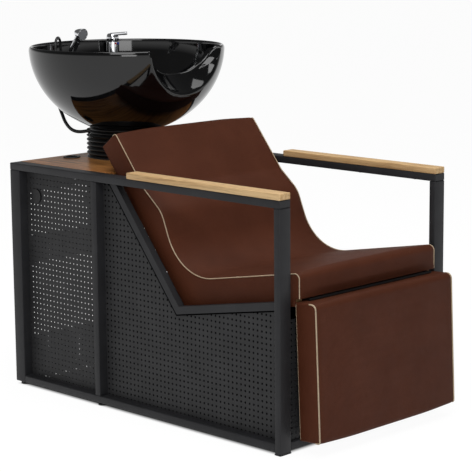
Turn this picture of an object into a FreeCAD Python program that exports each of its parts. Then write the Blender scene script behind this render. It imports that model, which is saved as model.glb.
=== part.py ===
import FreeCAD, Part
import math
import os
from FreeCAD import Vector

# Backwash unit: steel-tube chair frame with a perforated cabinet, a reclined seat, a hinged leg rest
# and a tilting shampoo bowl. Millimetres, +Z up, the sitter faces -Y, left is -X.
# Modelling frame: X = 0 on the centre plane, Y = 0 on the front of the front legs, Z = 0 on the floor.

# Steel frame
FRAME_WIDTH = 646.0
FRAME_LENGTH = 1048.0
FRAME_HEIGHT = 644.0
TUBE_WIDTH = 40.0
TUBE_THICK = 20.0
TUBE_WALL = 1.5
REAR_LEG_DEPTH = 40.0
REAR_BAY = 368.0
BASE_LIFT = 9.0
GLIDE_THICK = 3.0
FOOT_RADIUS = 14.0
FOOT_NECK_RADIUS = 6.0
FOOT_DISC_THICK = 4.0
PLUG_THICK = 3.0

# L-shaped tube that carries the seat: seat rail falling to the rear, back rail rising behind it
SEAT_TUBE = 20.0
SEAT_SLOPE_DEG = 10.2
BACK_ANGLE_DEG = 51.5

# Cabinet sheets, wood top and its grommet
PANEL_THICK = 1.5
PANEL_RECESS = 28.0
PANEL_GAP_BACK = 12.0
PANEL_GAP_SEAT = 5.0
FRONT_PANEL_DROP = 47.0
PANEL_CAP_RADIUS = 20.0
PANEL_CAP_HOLE_RADIUS = 15.0
PANEL_CAP_PROUD = 4.0
PANEL_CAP_DEPTH = 10.0
PANEL_CAP_FROM_REAR = 83.0
PANEL_CAP_DROP = 91.0
# Service openings in the left of the back: inner and outer side as shares of the half width, then low
# and high side as shares of the height.
BACK_OPENING_SHARES = ((0.15, 0.92, 0.69, 0.91), (0, 0.92, 0.18, 0.55))
WOOD_THICK = 18.0
WOOD_FRONT_LAP = 10.0
WASTE_HOLE_RADIUS = 42.0
GROMMET_X = -134.0
GROMMET_FROM_REAR = 48.0
GROMMET_HOLE_RADIUS = 21.0
GROMMET_RADIUS = 25.0
GROMMET_BORE_RADIUS = 17.0
GROMMET_LIP = 2.5

# Armrests
ARMREST_SHORT = 124.0
ARMREST_THICK = 17.0
ARMREST_EDGE_RADIUS = 2.5
ARM_SCREW_RADIUS = 2.5
ARM_SCREW_HEAD_RADIUS = 5.0
ARM_SCREW_HEAD_THICK = 3.0
ARM_SCREW_GRIP = 10.0
ARM_SCREW_PLACE_SHARES = (0.15, 0.5, 0.85)

# Seat and back pad on its boards
PAD_SIDE_MARGIN = 56.0
SEAT_FOAM = 66.0
BACK_FOAM = 52.0
BACK_LENGTH = 511.0
# The top of the back rail's line lies ahead of the bowl's axis and below its rim.
BACK_TOP_AHEAD = 202.895
BACK_TOP_DROP = 242.222
LUMBAR_RISE = 14.5
HOLLOW_HEIGHT = 106.0
HOLLOW_START = 95.0
PAD_FRONT_LAP = 14.0
PAD_NOSE_RADIUS = 16.0
PAD_TOP_RADIUS = 9.0
PAD_CROWN = 5.0
PAD_EDGE_DROP = 2.5
PAD_EDGE_BAND = 14.0
PAD_SHOULDER_SHARE = 0.333
BOARD_THICK = 18.0
BOARD_SIDE_WRAP = 5.0
BOARD_TOP_WRAP = 12.0
BOARD_FRONT_Y = 3.0
# places up the back, as shares of its length and of the lumbar rise
LUMBAR_SHARES = ((0.350, -0.20), (0.447, 0.81), (0.486, 1.0), (0.530, 0.83), (0.642, 0.0))
BRACKET_LENGTH = 60.0
BRACKET_THICK = 3.0
BRACKET_LAP = 24.0
SEAT_BRACKET_SHARES = (0.22, 0.72)
BACK_BRACKET_SHARES = (0.30, 0.62)
BRACKET_SCREW_RADIUS = 2.5
BRACKET_SCREW_HEAD_RADIUS = 4.5
BRACKET_SCREW_HEAD_THICK = 2.5
BRACKET_SCREW_GRIP = 12.0
BRACKET_SCREW_SPACING = 36.0

# Leg rest, hung on a hinge at the front edge of the seat
LEG_PIVOT_Y = -21.0
LEG_PIVOT_RISE = 1.0
LEG_LEAN_DEG = 2.4
LEG_SIDE_MARGIN = 53.0
LEG_FLOOR_GAP = 33.0
LEG_PAD_DROP = 4.0
LEG_REAR = 19.0
LEG_BOARD_THICK = 18.0
LEG_FOAM = 50.0
LEG_CROWN = 4.0
LEG_EDGE_DROP = 2.0
LEG_EDGE_BAND = 14.0
LEG_TOP_RADIUS = 15.0
LEG_BOTTOM_RADIUS = 8.0
LEG_BOARD_SIDE_WRAP = 5.0
HINGE_END_MARGIN = 30.0
HINGE_KNUCKLES = 9
HINGE_KNUCKLE_RADIUS = 4.0
HINGE_PIN_RADIUS = 2.0
HINGE_PIN_CLEARANCE = 0.05
HINGE_KNUCKLE_GAP = 0.4
HINGE_LEAF_THICK = 2.0
HINGE_FLANGE = 20.0
LEG_GAP = 0.3

# Bowl: half ellipsoid shell with a neck scoop in front and a tap ledge at the rear
BOWL_FROM_REAR = 145.0
BOWL_RISE = 320.0
BOWL_RADIUS = 281.0
BOWL_DEPTH = 252.0
BOWL_WALL = 12.0
SCOOP_RADIUS = 166.0
SCOOP_SETBACK = 348.0
NOTCH_HALF_WIDTH = 128.0
NOTCH_DEPTH = 72.0
# Across the notch from its middle: share of its half width, share of its depth.
NOTCH_SHARES = ((0.0, 1.0), (0.25, 0.964), (0.47, 0.836), (0.66, 0.631), (0.82, 0.379), (0.94, 0.138),
                (1.0, 0.0))
LEDGE_DROP = 62.0
LEDGE_FRONT = 140.0
POCKET_HALF_WIDTH = 100.0
POCKET_TOP = 98.0
POCKET_BOTTOM = 205.0
BOSS_RADIUS = 62.0
BOSS_DROP = 8.0
DRAIN_RADIUS = 22.0
STRAINER_RADIUS = 34.0
STRAINER_THICK = 1.5
STRAINER_HOLE_RADIUS = 3.0
STRAINER_HOLES = 8
STRAINER_HOLE_CIRCLE_SHARE = 0.6
WASTE_WALL = 3.0
WASTE_TAIL_LENGTH = 34.0
WASTE_NUT_RADIUS = 30.0
WASTE_NUT_THICK = 8.0

# Tilt mount and its ribbed bellows
BELLOWS_RADIUS = 114.0
BELLOWS_RIB_DEPTH = 9.0
BELLOWS_WALL = 4.0
BELLOWS_HEIGHT = 62.0
BELLOWS_RIBS = 5
RIB_SHARES = ((0.2, 0), (0.4, 1), (0.8, 1), (1.0, 0))
BELLOWS_SETBACK = 11.0
COLLAR_RADIUS = 106.0
COLLAR_WALL = 5.0
FIT_GAP = 0.3
TILT_PIVOT_RISE = 34.0
TILT_BASE_RADIUS = 90.0
TILT_PLATE = 5.0
TILT_CHEEK_HALF_DEPTH = 16.0
TILT_CHEEK_HALF_GAP = 58.0
TILT_EAR_THICK = 6.0
TILT_PIN_RADIUS = 6.0
TILT_PIN_CLEARANCE = 0.06
TILT_PIN_HEAD_RADIUS = 9.0
TILT_PIN_HEAD_THICK = 4.0
YOKE_BOLT_RADIUS = 3.0
YOKE_BOLT_HEAD_RADIUS = 5.5
YOKE_BOLT_HEAD_THICK = 3.5
YOKE_BOLT_CIRCLE = 46.0
YOKE_BOLT_GRIP = 8.0
YOKE_BOLTS = 4

# Waste and water connections inside the cabinet
TRAP_RADIUS = 38.0
TRAP_TOP_DROP = 104.0
TRAP_BOTTOM_DROP = 224.0
TRAP_NECK_RADIUS = 26.0
TRAP_NECK_HEIGHT = 24.0
WASTE_HOSE_RADIUS = 20.0
WASTE_HOSE_RIB_DEPTH = 2.5
WASTE_HOSE_WALL = 3.0
WASTE_HOSE_RIBS = 14
OUTLET_RADIUS = 20.0
OUTLET_WALL = 3.0
OUTLET_DROP = 144.0
OUTLET_PROUD = 40.0
OUTLET_FLANGE_RADIUS = 34.0
OUTLET_FLANGE_THICK = 4.0
INLET_X = 80.0
INLET_Z = 384.0
INLET_RADIUS = 10.0
INLET_BORE_RADIUS = 6.0
INLET_PROUD = 30.0
INLET_NUT_RADIUS = 17.0
INLET_NUT_THICK = 8.0
INLET_TAIL = 20.0

# Mixer tap on the ledge
MIXER_X = 121.0
MIXER_SETBACK = 198.0
MIXER_RADIUS = 19.0
MIXER_BASE_RADIUS = 23.0
MIXER_BASE_THICK = 4.0
MIXER_BODY_HEIGHT = 58.0
MIXER_CAP_HEIGHT = 24.0
MIXER_SPIGOT_RADIUS = 10.0
MIXER_SPIGOT_HEIGHT = 12.0
MIXER_SPIGOT_CLEARANCE = 0.06
MIXER_INDEX_RADIUS = 3.0
MIXER_INDEX_PROUD = 0.8
MIXER_INDEX_APART = 5.0
MIXER_INDEX_DROP = 6.0
LEVER_LENGTH = 62.0
LEVER_WIDTH = 14.0
LEVER_THICK = 5.0
LEVER_TIP_WIDTH = 9.0
LEVER_PIN_RADIUS = 3.0
LEVER_BARREL_RADIUS = 4.8
LEVER_PIN_CLEARANCE = 0.06
LEVER_SLOT_GAP = 0.4

# Hand shower in its holder, leaning forward, and its hose
SHOWER_X = -53.0
SHOWER_SETBACK = 211.0
SHOWER_LEAN_DEG = 38.0
HOLDER_RADIUS = 17.0
HOLDER_BASE_RADIUS = 22.0
HOLDER_BASE_THICK = 4.0
HOLDER_LENGTH = 30.0
HOLDER_RUN_GAP = 0.3
HANDLE_RADIUS = 11.0
HANDLE_LENGTH = 94.0
HEAD_RADIUS = 18.0
HEAD_TAIL_LENGTH = 11.0
HEAD_FLARE_LENGTH = 22.0
HEAD_NECK_RADIUS = 12.0
HEAD_TILT_DEG = 62.0
SPRAY_FACE_THICK = 3.0
SPRAY_FACE_INSET = 3.0
SHOWER_HOSE_DIAMETER = 10.0
CORNER_SHARE = 0.45
HOSE_PORT_RADIUS = 8.0
HOSE_PORT_LENGTH = 16.0
ARCH_HOSE_DIAMETER = 8.0
ARCH_GLAND_RADIUS = 10.0
OVERRUN = 40.0

# Routes of the two hoses, measured from the centre of the bowl's rim
SHOWER_HOSE_ROUTE = (
    (-53.0, 211.2, -62.25), (-53.0, 227.0, -82.5), (-57.0, 237.0, -107.0), (-68.0, 238.0, -131.0),
    (-83.0, 222.0, -153.0), (-100.0, 194.0, -173.0), (-113.0, 163.0, -197.0), (-118.0, 142.0, -224.0),
    (-109.0, 125.0, -246.0), (-93.0, 105.0, -252.0), (-80.0, 86.0, -247.0))
ARCH_HOSE_ROUTE = (
    (-136.0, 157.0, -50.0), (-136.0, 157.0, 0.3), (-120.8, 167.8, 19.0), (-99.2, 183.2, 19.0),
    (-84.0, 194.0, 0.3), (-84.0, 194.0, -50.0))

X_AXIS = Vector(1, 0, 0)
Y_AXIS = Vector(0, 1, 0)
Z_AXIS = Vector(0, 0, 1)

half_frame = FRAME_WIDTH / 2
inner_x = half_frame - TUBE_WIDTH
rail_z = FRAME_HEIGHT - TUBE_THICK
base_top = BASE_LIFT + TUBE_THICK
rear_leg_y = FRAME_LENGTH - REAR_LEG_DEPTH
wood_z = FRAME_HEIGHT - WOOD_THICK
mid_upright_y = FRAME_LENGTH - REAR_BAY
wood_y = mid_upright_y + WOOD_FRONT_LAP
armrest_length = mid_upright_y - ARMREST_SHORT
half_pad = half_frame - PAD_SIDE_MARGIN
half_leg = half_frame - LEG_SIDE_MARGIN
hinge_length = 2 * (half_leg - HINGE_END_MARGIN)
bowl_y = FRAME_LENGTH - BOWL_FROM_REAR
bowl_rim_z = FRAME_HEIGHT + BOWL_RISE
outlet_z = FRAME_HEIGHT - OUTLET_DROP
trap_top_z = FRAME_HEIGHT - TRAP_TOP_DROP
trap_low_z = FRAME_HEIGHT - TRAP_BOTTOM_DROP
bellows_y = bowl_y + BELLOWS_SETBACK
bowl_centre = Vector(0, bowl_y, bowl_rim_z)
ledge_z = bowl_rim_z - LEDGE_DROP
pivot = Vector(0, bellows_y, FRAME_HEIGHT + TILT_PIVOT_RISE)
# Side-plane directions of the L: along the seat to the rear, and up the back, with their upper normals
slope = math.radians(SEAT_SLOPE_DEG)
rise = math.radians(BACK_ANGLE_DEG)
seat_dir = (math.cos(slope), -math.sin(slope))
seat_normal = (math.sin(slope), math.cos(slope))
back_dir = (math.cos(rise), math.sin(rise))
back_normal = (-math.sin(rise), math.cos(rise))
corner = (bowl_y - BACK_TOP_AHEAD - back_dir[0] * BACK_LENGTH,
          bowl_rim_z - BACK_TOP_DROP - back_dir[1] * BACK_LENGTH)
seat_front_z = corner[1] + (corner[0] - TUBE_THICK) * math.tan(slope)
leg_pivot_z = seat_front_z + LEG_PIVOT_RISE
leg_bottom = leg_pivot_z - LEG_FLOOR_GAP
leg_pivot = Vector(0, LEG_PIVOT_Y, leg_pivot_z)
lean = math.radians(LEG_LEAN_DEG)
front_y = LEG_PIVOT_Y - (LEG_FOAM + LEG_BOARD_THICK - LEG_REAR + LEG_CROWN) * math.cos(lean)
front_y -= (leg_bottom - LEG_BOTTOM_RADIUS) * math.sin(lean)
rear_y = bowl_y + BOWL_RADIUS
origin_shift = Vector(0, -(front_y + rear_y) / 2, 0)

parts = {}


def keep(node, shape):
    parts[node] = shape


def group(shapes):
    return Part.makeCompound(shapes)


def box(x0, x1, y0, y1, z0, z1):
    return Part.makeBox(x1 - x0, y1 - y0, z1 - z0, Vector(x0, y0, z0))


def rod(radius, start, end):
    run = end - start
    return Part.makeCylinder(radius, run.Length, start, run)


def ring(outer, bore, start, end):
    run = (end - start).normalize() * OVERRUN
    return rod(outer, start, end).cut(rod(bore, start - run, end + run))


def ball(radius, centre):
    return Part.makeSphere(radius, centre)


def mirrored(shape):
    return shape.mirror(Vector(0, 0, 0), X_AXIS)


def tube_along(axis, x0, x1, y0, y1, z0, z1):
    """Open-ended rectangular tube along one axis."""
    walls = [TUBE_WALL, TUBE_WALL, TUBE_WALL]
    walls[axis] = -OVERRUN
    bore = box(x0 + walls[0], x1 - walls[0], y0 + walls[1], y1 - walls[1], z0 + walls[2], z1 - walls[2])
    return box(x0, x1, y0, y1, z0, z1).cut(bore)


def slab(points, x0, x1):
    """Closed outline of (y, z) points drawn across from x0 to x1."""
    corners = [Vector(x0, y, z) for y, z in points]
    face = Part.Face(Part.makePolygon(corners + corners[:1]))
    return face.extrude(Vector(x1 - x0, 0, 0))


def crossing(a, da, b, db):
    """Point where two lines in the side plane meet."""
    turn = da[0] * db[1] - da[1] * db[0]
    along = ((b[0] - a[0]) * db[1] - (b[1] - a[1]) * db[0]) / turn
    return (a[0] + da[0] * along, a[1] + da[1] * along)


def both_sides(name, shape):
    """The shape is made on the right (+X) side and mirrored to the left."""
    keep(name + "_right", shape)
    keep(name + "_left", mirrored(shape))


def pair(name, shape):
    """Two like pieces, right and left, in one node."""
    keep(name, group([shape, mirrored(shape)]))


def seat_line(offset):
    """A point on the line parallel to the seat rail's top, offset towards the sitter."""
    return (corner[0] + seat_normal[0] * offset, corner[1] + seat_normal[1] * offset)


def back_line(offset):
    return (corner[0] + back_normal[0] * offset, corner[1] + back_normal[1] * offset)


def l_corner(seat_offset, back_offset):
    return crossing(seat_line(seat_offset), seat_dir, back_line(back_offset), back_dir)


def seat_at(y, offset):
    return crossing(seat_line(offset), seat_dir, (y, 0), (0, 1))


def back_at_height(z, offset):
    return crossing(back_line(offset), back_dir, (0, z), (1, 0))


def back_point(along, offset):
    base = back_line(offset)
    return (base[0] + back_dir[0] * along, base[1] + back_dir[1] * along)


def seat_point(ahead, offset):
    base = seat_line(offset)
    return (base[0] - seat_dir[0] * ahead, base[1] - seat_dir[1] * ahead)


def make_frame():
    xi, xo = inner_x, half_frame
    both_sides("front_leg", tube_along(2, xi, xo, 0, TUBE_THICK, GLIDE_THICK, rail_z))
    both_sides("rear_leg", tube_along(2, xi, xo, rear_leg_y, FRAME_LENGTH, BASE_LIFT, rail_z))
    mid_rear = mid_upright_y + TUBE_THICK
    pair("middle_uprights", tube_along(2, xi, xo, mid_upright_y, mid_rear, base_top, rail_z))
    both_sides("arm_rail", tube_along(1, xi, xo, 0, FRAME_LENGTH, rail_z, FRAME_HEIGHT))
    pair("side_base_rails", tube_along(1, xi, xo, TUBE_THICK, rear_leg_y, BASE_LIFT, base_top))
    rear_in = FRAME_LENGTH - TUBE_THICK
    front_base = tube_along(0, -xi, xi, 0, TUBE_THICK, BASE_LIFT, base_top)
    rear_base = tube_along(0, -xi, xi, rear_in, FRAME_LENGTH, BASE_LIFT, base_top)
    keep("cross_base_rails", group([front_base, rear_base]))
    cross_z = wood_z - TUBE_THICK
    keep("middle_top_rail", tube_along(0, -xi, xi, mid_upright_y, mid_rear, cross_z, wood_z))
    keep("rear_top_rail", tube_along(0, -xi, xi, rear_in, FRAME_LENGTH, cross_z, wood_z))


def make_seat_tubes():
    x0, x1 = inner_x, inner_x + SEAT_TUBE

    def rails(top, bottom, xa, xb):
        upper, lower = l_corner(top, top), l_corner(bottom, bottom)
        seat = slab((seat_at(TUBE_THICK, top), upper, lower, seat_at(TUBE_THICK, bottom)), xa, xb)
        back_top = (back_at_height(rail_z, bottom), back_at_height(rail_z, top))
        return seat, slab((upper, lower) + back_top, xa, xb)

    seat, back = rails(0, -SEAT_TUBE, x0, x1)
    seat_bore, back_bore = rails(-TUBE_WALL, TUBE_WALL - SEAT_TUBE, x0 + TUBE_WALL, x1 - TUBE_WALL)
    pair("seat_rails", seat.cut(seat_bore))
    pair("back_rails", back.cut(back_bore))


def make_feet():
    plugs = []
    for y0 in (0, FRAME_LENGTH - PLUG_THICK):
        plug = box(inner_x + TUBE_WALL, half_frame - TUBE_WALL, y0, y0 + PLUG_THICK,
                   rail_z + TUBE_WALL, FRAME_HEIGHT - TUBE_WALL)
        plugs += [plug, mirrored(plug)]
    glide = box(inner_x, half_frame, 0, TUBE_THICK, 0, GLIDE_THICK)
    keep("tube_plugs_and_glides", group(plugs + [glide, mirrored(glide)]))
    feet = []
    foot_x = half_frame - TUBE_WIDTH / 2
    for y in (mid_upright_y + TUBE_THICK / 2, FRAME_LENGTH - REAR_LEG_DEPTH / 2):
        plate_half = TUBE_WIDTH / 2
        low, high = Vector(foot_x, y, FOOT_DISC_THICK), Vector(foot_x, y, BASE_LIFT)
        disc = rod(FOOT_RADIUS, Vector(foot_x, y, 0), low)
        foot = disc.fuse(rod(FOOT_NECK_RADIUS, low, high))
        if y > rear_leg_y:
            inset = plate_half - TUBE_WALL
            lid = box(foot_x - inset, foot_x + inset, y - REAR_LEG_DEPTH / 2 + TUBE_WALL,
                      y + REAR_LEG_DEPTH / 2 - TUBE_WALL, BASE_LIFT, BASE_LIFT + PLUG_THICK)
            foot = foot.fuse(lid)
        feet += [foot, mirrored(foot)]
    keep("levelling_feet", group(feet))


def make_panels():
    outer = half_frame - PANEL_RECESS
    inner = outer - PANEL_THICK
    mid_rear = mid_upright_y + TUBE_THICK
    rear = box(inner, outer, mid_rear, rear_leg_y, base_top, rail_z)
    cap_y = FRAME_LENGTH - PANEL_CAP_FROM_REAR
    skin = Vector(-outer, cap_y, FRAME_HEIGHT - PANEL_CAP_DROP)
    hole = rod(PANEL_CAP_HOLE_RADIUS, skin - X_AXIS * OVERRUN, skin + X_AXIS * OVERRUN)
    keep("rear_side_panel_right", rear)
    keep("rear_side_panel_left", mirrored(rear).cut(hole))
    cap = rod(PANEL_CAP_RADIUS, skin - X_AXIS * PANEL_CAP_PROUD, skin)
    keep("panel_cap", cap.fuse(rod(PANEL_CAP_HOLE_RADIUS, skin, skin + X_AXIS * PANEL_CAP_DEPTH)))
    seat_under = -SEAT_TUBE - PANEL_GAP_SEAT
    back_under = -SEAT_TUBE - PANEL_GAP_BACK
    outline = ((TUBE_THICK, base_top), (mid_upright_y, base_top), (mid_upright_y, rail_z),
               back_at_height(rail_z, back_under), l_corner(seat_under, back_under),
               seat_at(TUBE_THICK, seat_under))
    both_sides("front_side_panel", slab(outline, inner, outer))
    mid_front = TUBE_THICK / 2
    keep("front_panel", box(-inner_x, inner_x, mid_front, mid_front + PANEL_THICK, base_top,
                            seat_front_z - FRONT_PANEL_DROP))
    mid_back = FRAME_LENGTH - TUBE_THICK / 2
    back = box(-inner_x, inner_x, mid_back, mid_back + PANEL_THICK, base_top, wood_z - TUBE_THICK)
    for x, z, radius in ((0, outlet_z, OUTLET_RADIUS), (INLET_X, INLET_Z, INLET_RADIUS),
                         (-INLET_X, INLET_Z, INLET_RADIUS)):
        start = Vector(x, mid_back, z)
        back = back.cut(rod(radius, start - Y_AXIS * OVERRUN, start + Y_AXIS * OVERRUN))
    tall = wood_z - TUBE_THICK - base_top
    for inside, outside, low, high in BACK_OPENING_SHARES:
        opening = box(inner_x * inside, inner_x * outside, mid_back - OVERRUN, mid_back + OVERRUN,
                      base_top + tall * low, base_top + tall * high)
        back = back.cut(mirrored(opening))
    keep("back_panel", back)


def make_wood():
    top = box(-inner_x, inner_x, wood_y, FRAME_LENGTH, wood_z, FRAME_HEIGHT)
    waste = Vector(0, bellows_y, wood_z)
    top = top.cut(rod(WASTE_HOLE_RADIUS, waste - Z_AXIS * OVERRUN, waste + Z_AXIS * OVERRUN))
    seat = Vector(GROMMET_X, FRAME_LENGTH - GROMMET_FROM_REAR, FRAME_HEIGHT)
    top = top.cut(rod(GROMMET_HOLE_RADIUS, seat - Z_AXIS * OVERRUN, seat + Z_AXIS * OVERRUN))
    keep("wood_top", top)
    lip = rod(GROMMET_RADIUS, seat, seat + Z_AXIS * GROMMET_LIP)
    body = lip.fuse(rod(GROMMET_HOLE_RADIUS, seat - Z_AXIS * WOOD_THICK, seat))
    bore = rod(GROMMET_BORE_RADIUS, seat - Z_AXIS * OVERRUN, seat + Z_AXIS * OVERRUN)
    keep("hose_grommet", body.cut(bore))
    arm = box(inner_x, half_frame, 0, armrest_length, FRAME_HEIGHT, FRAME_HEIGHT + ARMREST_THICK)
    arm = arm.makeFillet(ARMREST_EDGE_RADIUS, [e for e in arm.Edges if e.CenterOfMass.z > FRAME_HEIGHT])
    screws = []
    screw_x = half_frame - TUBE_WIDTH / 2
    shank_low = rail_z
    for share in ARM_SCREW_PLACE_SHARES:
        at = Vector(screw_x, armrest_length * share, shank_low)
        head = rod(ARM_SCREW_HEAD_RADIUS, at - Z_AXIS * ARM_SCREW_HEAD_THICK, at)
        shank = rod(ARM_SCREW_RADIUS, at, at + Z_AXIS * (TUBE_THICK + ARM_SCREW_GRIP))
        screws.append(head.fuse(shank))
    for screw in screws:
        arm = arm.cut(screw)
        parts["arm_rail_right"] = parts["arm_rail_right"].cut(screw)
    parts["arm_rail_left"] = mirrored(parts["arm_rail_right"])
    both_sides("armrest", arm)
    return screws + [mirrored(screw) for screw in screws]


def loft_across(profile, half, crown, drop, band):
    """Pad drawn across X through side profiles that swell towards the middle."""
    shoulder = crown * PAD_SHOULDER_SHARE
    ahead = ((-half, -drop), (-half + band, shoulder))
    behind = ((half - band, shoulder), (half, -drop))
    wires = [profile(x, puff) for x, puff in ahead + ((0, crown),) + behind]
    return Part.makeLoft(wires, True, True)


def outline_wire(x, steps):
    """Closed wire in the side plane: each step is (point,) for a line or (middle, end) for an arc."""
    here = Vector(x, *steps[-1][-1])
    edges = []
    for step in steps:
        end = Vector(x, *step[-1])
        if len(step) == 1:
            edges.append(Part.LineSegment(here, end).toShape())
        else:
            edges.append(Part.Arc(here, Vector(x, *step[0]), end).toShape())
        here = end
    return Part.Wire(edges)


diag_share = 1 - math.sqrt(0.5)


def pad_profile(x, puff):
    """Side outline of the seat and back pad, its sitter side lifted by puff."""
    seat_top = SEAT_FOAM + puff
    back_top = BACK_FOAM + puff
    front = -PAD_FRONT_LAP - puff / 2
    nose = PAD_NOSE_RADIUS
    lip = seat_at(-PAD_FRONT_LAP, 0)
    lip = (front, lip[1])
    nose_start = (front, seat_at(front, seat_top)[1] - nose)
    nose_end = seat_at(front + nose, seat_top)
    nose_mid = (front + nose * diag_share, nose_end[1] - nose * diag_share)
    hollow = seat_line(HOLLOW_HEIGHT + puff)
    low, rise_in, peak, rise_out, top = [
        back_point(BACK_LENGTH * along, back_top + LUMBAR_RISE * lift) for along, lift in LUMBAR_SHARES]
    crest = PAD_TOP_RADIUS
    end = BACK_LENGTH
    steps = [
        (seat_at(BOARD_FRONT_Y, -BOARD_THICK),), (seat_at(BOARD_FRONT_Y, 0),), (lip,), (nose_start,),
        (nose_mid, nose_end), (seat_point(HOLLOW_START, seat_top),), (hollow, low), (rise_in,),
        (peak, rise_out), (top,), (back_point(end - crest, back_top),),
        (back_point(end - crest * diag_share, back_top - crest * diag_share),
         back_point(end, back_top - crest)),
        (back_point(end, -BOARD_THICK),), (l_corner(-BOARD_THICK, -BOARD_THICK),)]
    return outline_wire(x, steps)


def make_seat():
    half_board = half_pad - BOARD_SIDE_WRAP
    upper, lower = l_corner(0, 0), l_corner(-BOARD_THICK, -BOARD_THICK)
    seat = slab((seat_at(BOARD_FRONT_Y, 0), upper, lower, seat_at(BOARD_FRONT_Y, -BOARD_THICK)),
                -half_board, half_board)
    top = BACK_LENGTH - BOARD_TOP_WRAP
    back = slab((upper, lower, back_point(top, -BOARD_THICK), back_point(top, 0)), -half_board, half_board)
    pad = loft_across(pad_profile, half_pad, PAD_CROWN, PAD_EDGE_DROP, PAD_EDGE_BAND)
    keep("seat_back_pad", pad.cut(seat).cut(back))
    seat_length = (upper[0] - BOARD_FRONT_Y) / math.cos(slope)
    brackets, screws = [], []

    def bracket(place, tilt):
        """Angle lug under a board: one leg on the tube's inner face, one under the board."""
        length = BRACKET_LENGTH / 2
        foot_in = half_board - BRACKET_LAP
        foot = box(foot_in, inner_x, -length, length, -BOARD_THICK - BRACKET_THICK, -BOARD_THICK)
        wall = box(inner_x - BRACKET_THICK, inner_x, -length, length, -BOARD_THICK, -BRACKET_THICK)
        lug = foot.fuse(wall).removeSplitter()
        pins = []
        screw_x = half_board - BRACKET_LAP / 2
        for offset in (-BRACKET_SCREW_SPACING / 2, BRACKET_SCREW_SPACING / 2):
            under = Vector(screw_x, offset, -BOARD_THICK - BRACKET_THICK)
            head = rod(BRACKET_SCREW_HEAD_RADIUS, under - Z_AXIS * BRACKET_SCREW_HEAD_THICK, under)
            shank = rod(BRACKET_SCREW_RADIUS, under, under + Z_AXIS * (BRACKET_THICK + BRACKET_SCREW_GRIP))
            pins.append(head.fuse(shank))
        for shape in [lug] + pins:
            shape.rotate(Vector(0, 0, 0), X_AXIS, tilt)
            shape.translate(Vector(0, *place))
        for pin in pins:
            lug = lug.cut(pin)
        return lug, pins

    boards = {"seat": seat, "back": back}
    for share in SEAT_BRACKET_SHARES:
        brackets.append(("seat",) + bracket(seat_point(seat_length * (1 - share), 0), -SEAT_SLOPE_DEG))
    for share in BACK_BRACKET_SHARES:
        brackets.append(("back",) + bracket(back_point(top * share, 0), BACK_ANGLE_DEG))
    lugs = []
    for board, lug, pins in brackets:
        lugs += [lug, mirrored(lug)]
        for pin in pins:
            screws += [pin, mirrored(pin)]
            boards[board] = boards[board].cut(pin).cut(mirrored(pin))
    keep("seat_board", boards["seat"])
    keep("back_board", boards["back"])
    keep("board_brackets", group(lugs))
    return screws


def leaning(shape):
    """Leg-rest pieces are drawn hanging straight from the pivot, then leaned with their foot forward."""
    shape.rotate(Vector(0, 0, 0), X_AXIS, -LEG_LEAN_DEG)
    shape.translate(leg_pivot)
    return shape


def leg_profile(x, puff):
    """Side outline of the leg-rest pad about the hinge: front face, rounded top and bottom edges."""
    rear = LEG_REAR - LEG_BOARD_THICK
    front = rear - LEG_FOAM - puff
    high, low = -LEG_PAD_DROP, -leg_bottom
    big, small = LEG_TOP_RADIUS, LEG_BOTTOM_RADIUS
    steps = [
        ((LEG_REAR, low),), ((LEG_REAR, high),), ((front + big, high),),
        ((front + big * diag_share, high - big * diag_share), (front, high - big)), ((front, low + small),),
        ((front + small * diag_share, low + small * diag_share), (front + small, low))]
    return outline_wire(x, steps)


def make_leg_rest():
    half_board = half_leg - LEG_BOARD_SIDE_WRAP
    wrap = LEG_BOARD_SIDE_WRAP
    board_y = LEG_REAR - LEG_BOARD_THICK
    board = box(-half_board, half_board, board_y, LEG_REAR, wrap - leg_bottom, -LEG_PAD_DROP)
    pad = loft_across(leg_profile, half_leg, LEG_CROWN, LEG_EDGE_DROP, LEG_EDGE_BAND)
    keep("leg_rest_pad", leaning(pad.cut(board)))
    keep("leg_rest_board", leaning(board))
    pitch = hinge_length / HINGE_KNUCKLES
    bore = HINGE_PIN_RADIUS + HINGE_PIN_CLEARANCE
    half_hinge = hinge_length / 2
    leaf_top = HINGE_LEAF_THICK - HINGE_KNUCKLE_RADIUS
    moving = box(-half_hinge, half_hinge, 0, LEG_REAR, -HINGE_KNUCKLE_RADIUS, leaf_top)
    flange_y = BOARD_FRONT_Y - LEG_PIVOT_Y
    fixed = box(-half_hinge, half_hinge, 0, flange_y, 0, HINGE_LEAF_THICK)
    flange = box(-half_hinge, half_hinge, flange_y - HINGE_LEAF_THICK, flange_y,
                 HINGE_LEAF_THICK - HINGE_FLANGE, HINGE_LEAF_THICK)
    fixed = fixed.fuse(flange)
    clear = HINGE_KNUCKLE_RADIUS + LEG_GAP
    leaves = {0: fixed, 1: moving}
    for index in range(HINGE_KNUCKLES):
        low = Vector(index * pitch - half_hinge + HINGE_KNUCKLE_GAP / 2, 0, 0)
        high = Vector((index + 1) * pitch - half_hinge - HINGE_KNUCKLE_GAP / 2, 0, 0)
        ends = X_AXIS * HINGE_KNUCKLE_GAP
        other = 1 - index % 2
        leaves[other] = leaves[other].cut(rod(clear, low - ends, high + ends))
        leaves[1 - other] = leaves[1 - other].fuse(rod(HINGE_KNUCKLE_RADIUS, low, high))
    pin = rod(HINGE_PIN_RADIUS, Vector(-half_hinge, 0, 0), Vector(half_hinge, 0, 0))
    hole = rod(bore, Vector(-half_hinge - OVERRUN, 0, 0), Vector(half_hinge + OVERRUN, 0, 0))
    fixed = leaves[0].cut(hole).removeSplitter()
    fixed.translate(leg_pivot)
    pin.translate(leg_pivot)
    keep("leg_hinge_fixed_leaf", fixed)
    keep("leg_hinge_moving_leaf", leaning(leaves[1].cut(hole).removeSplitter()))
    keep("leg_hinge_pin", pin)


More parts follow.
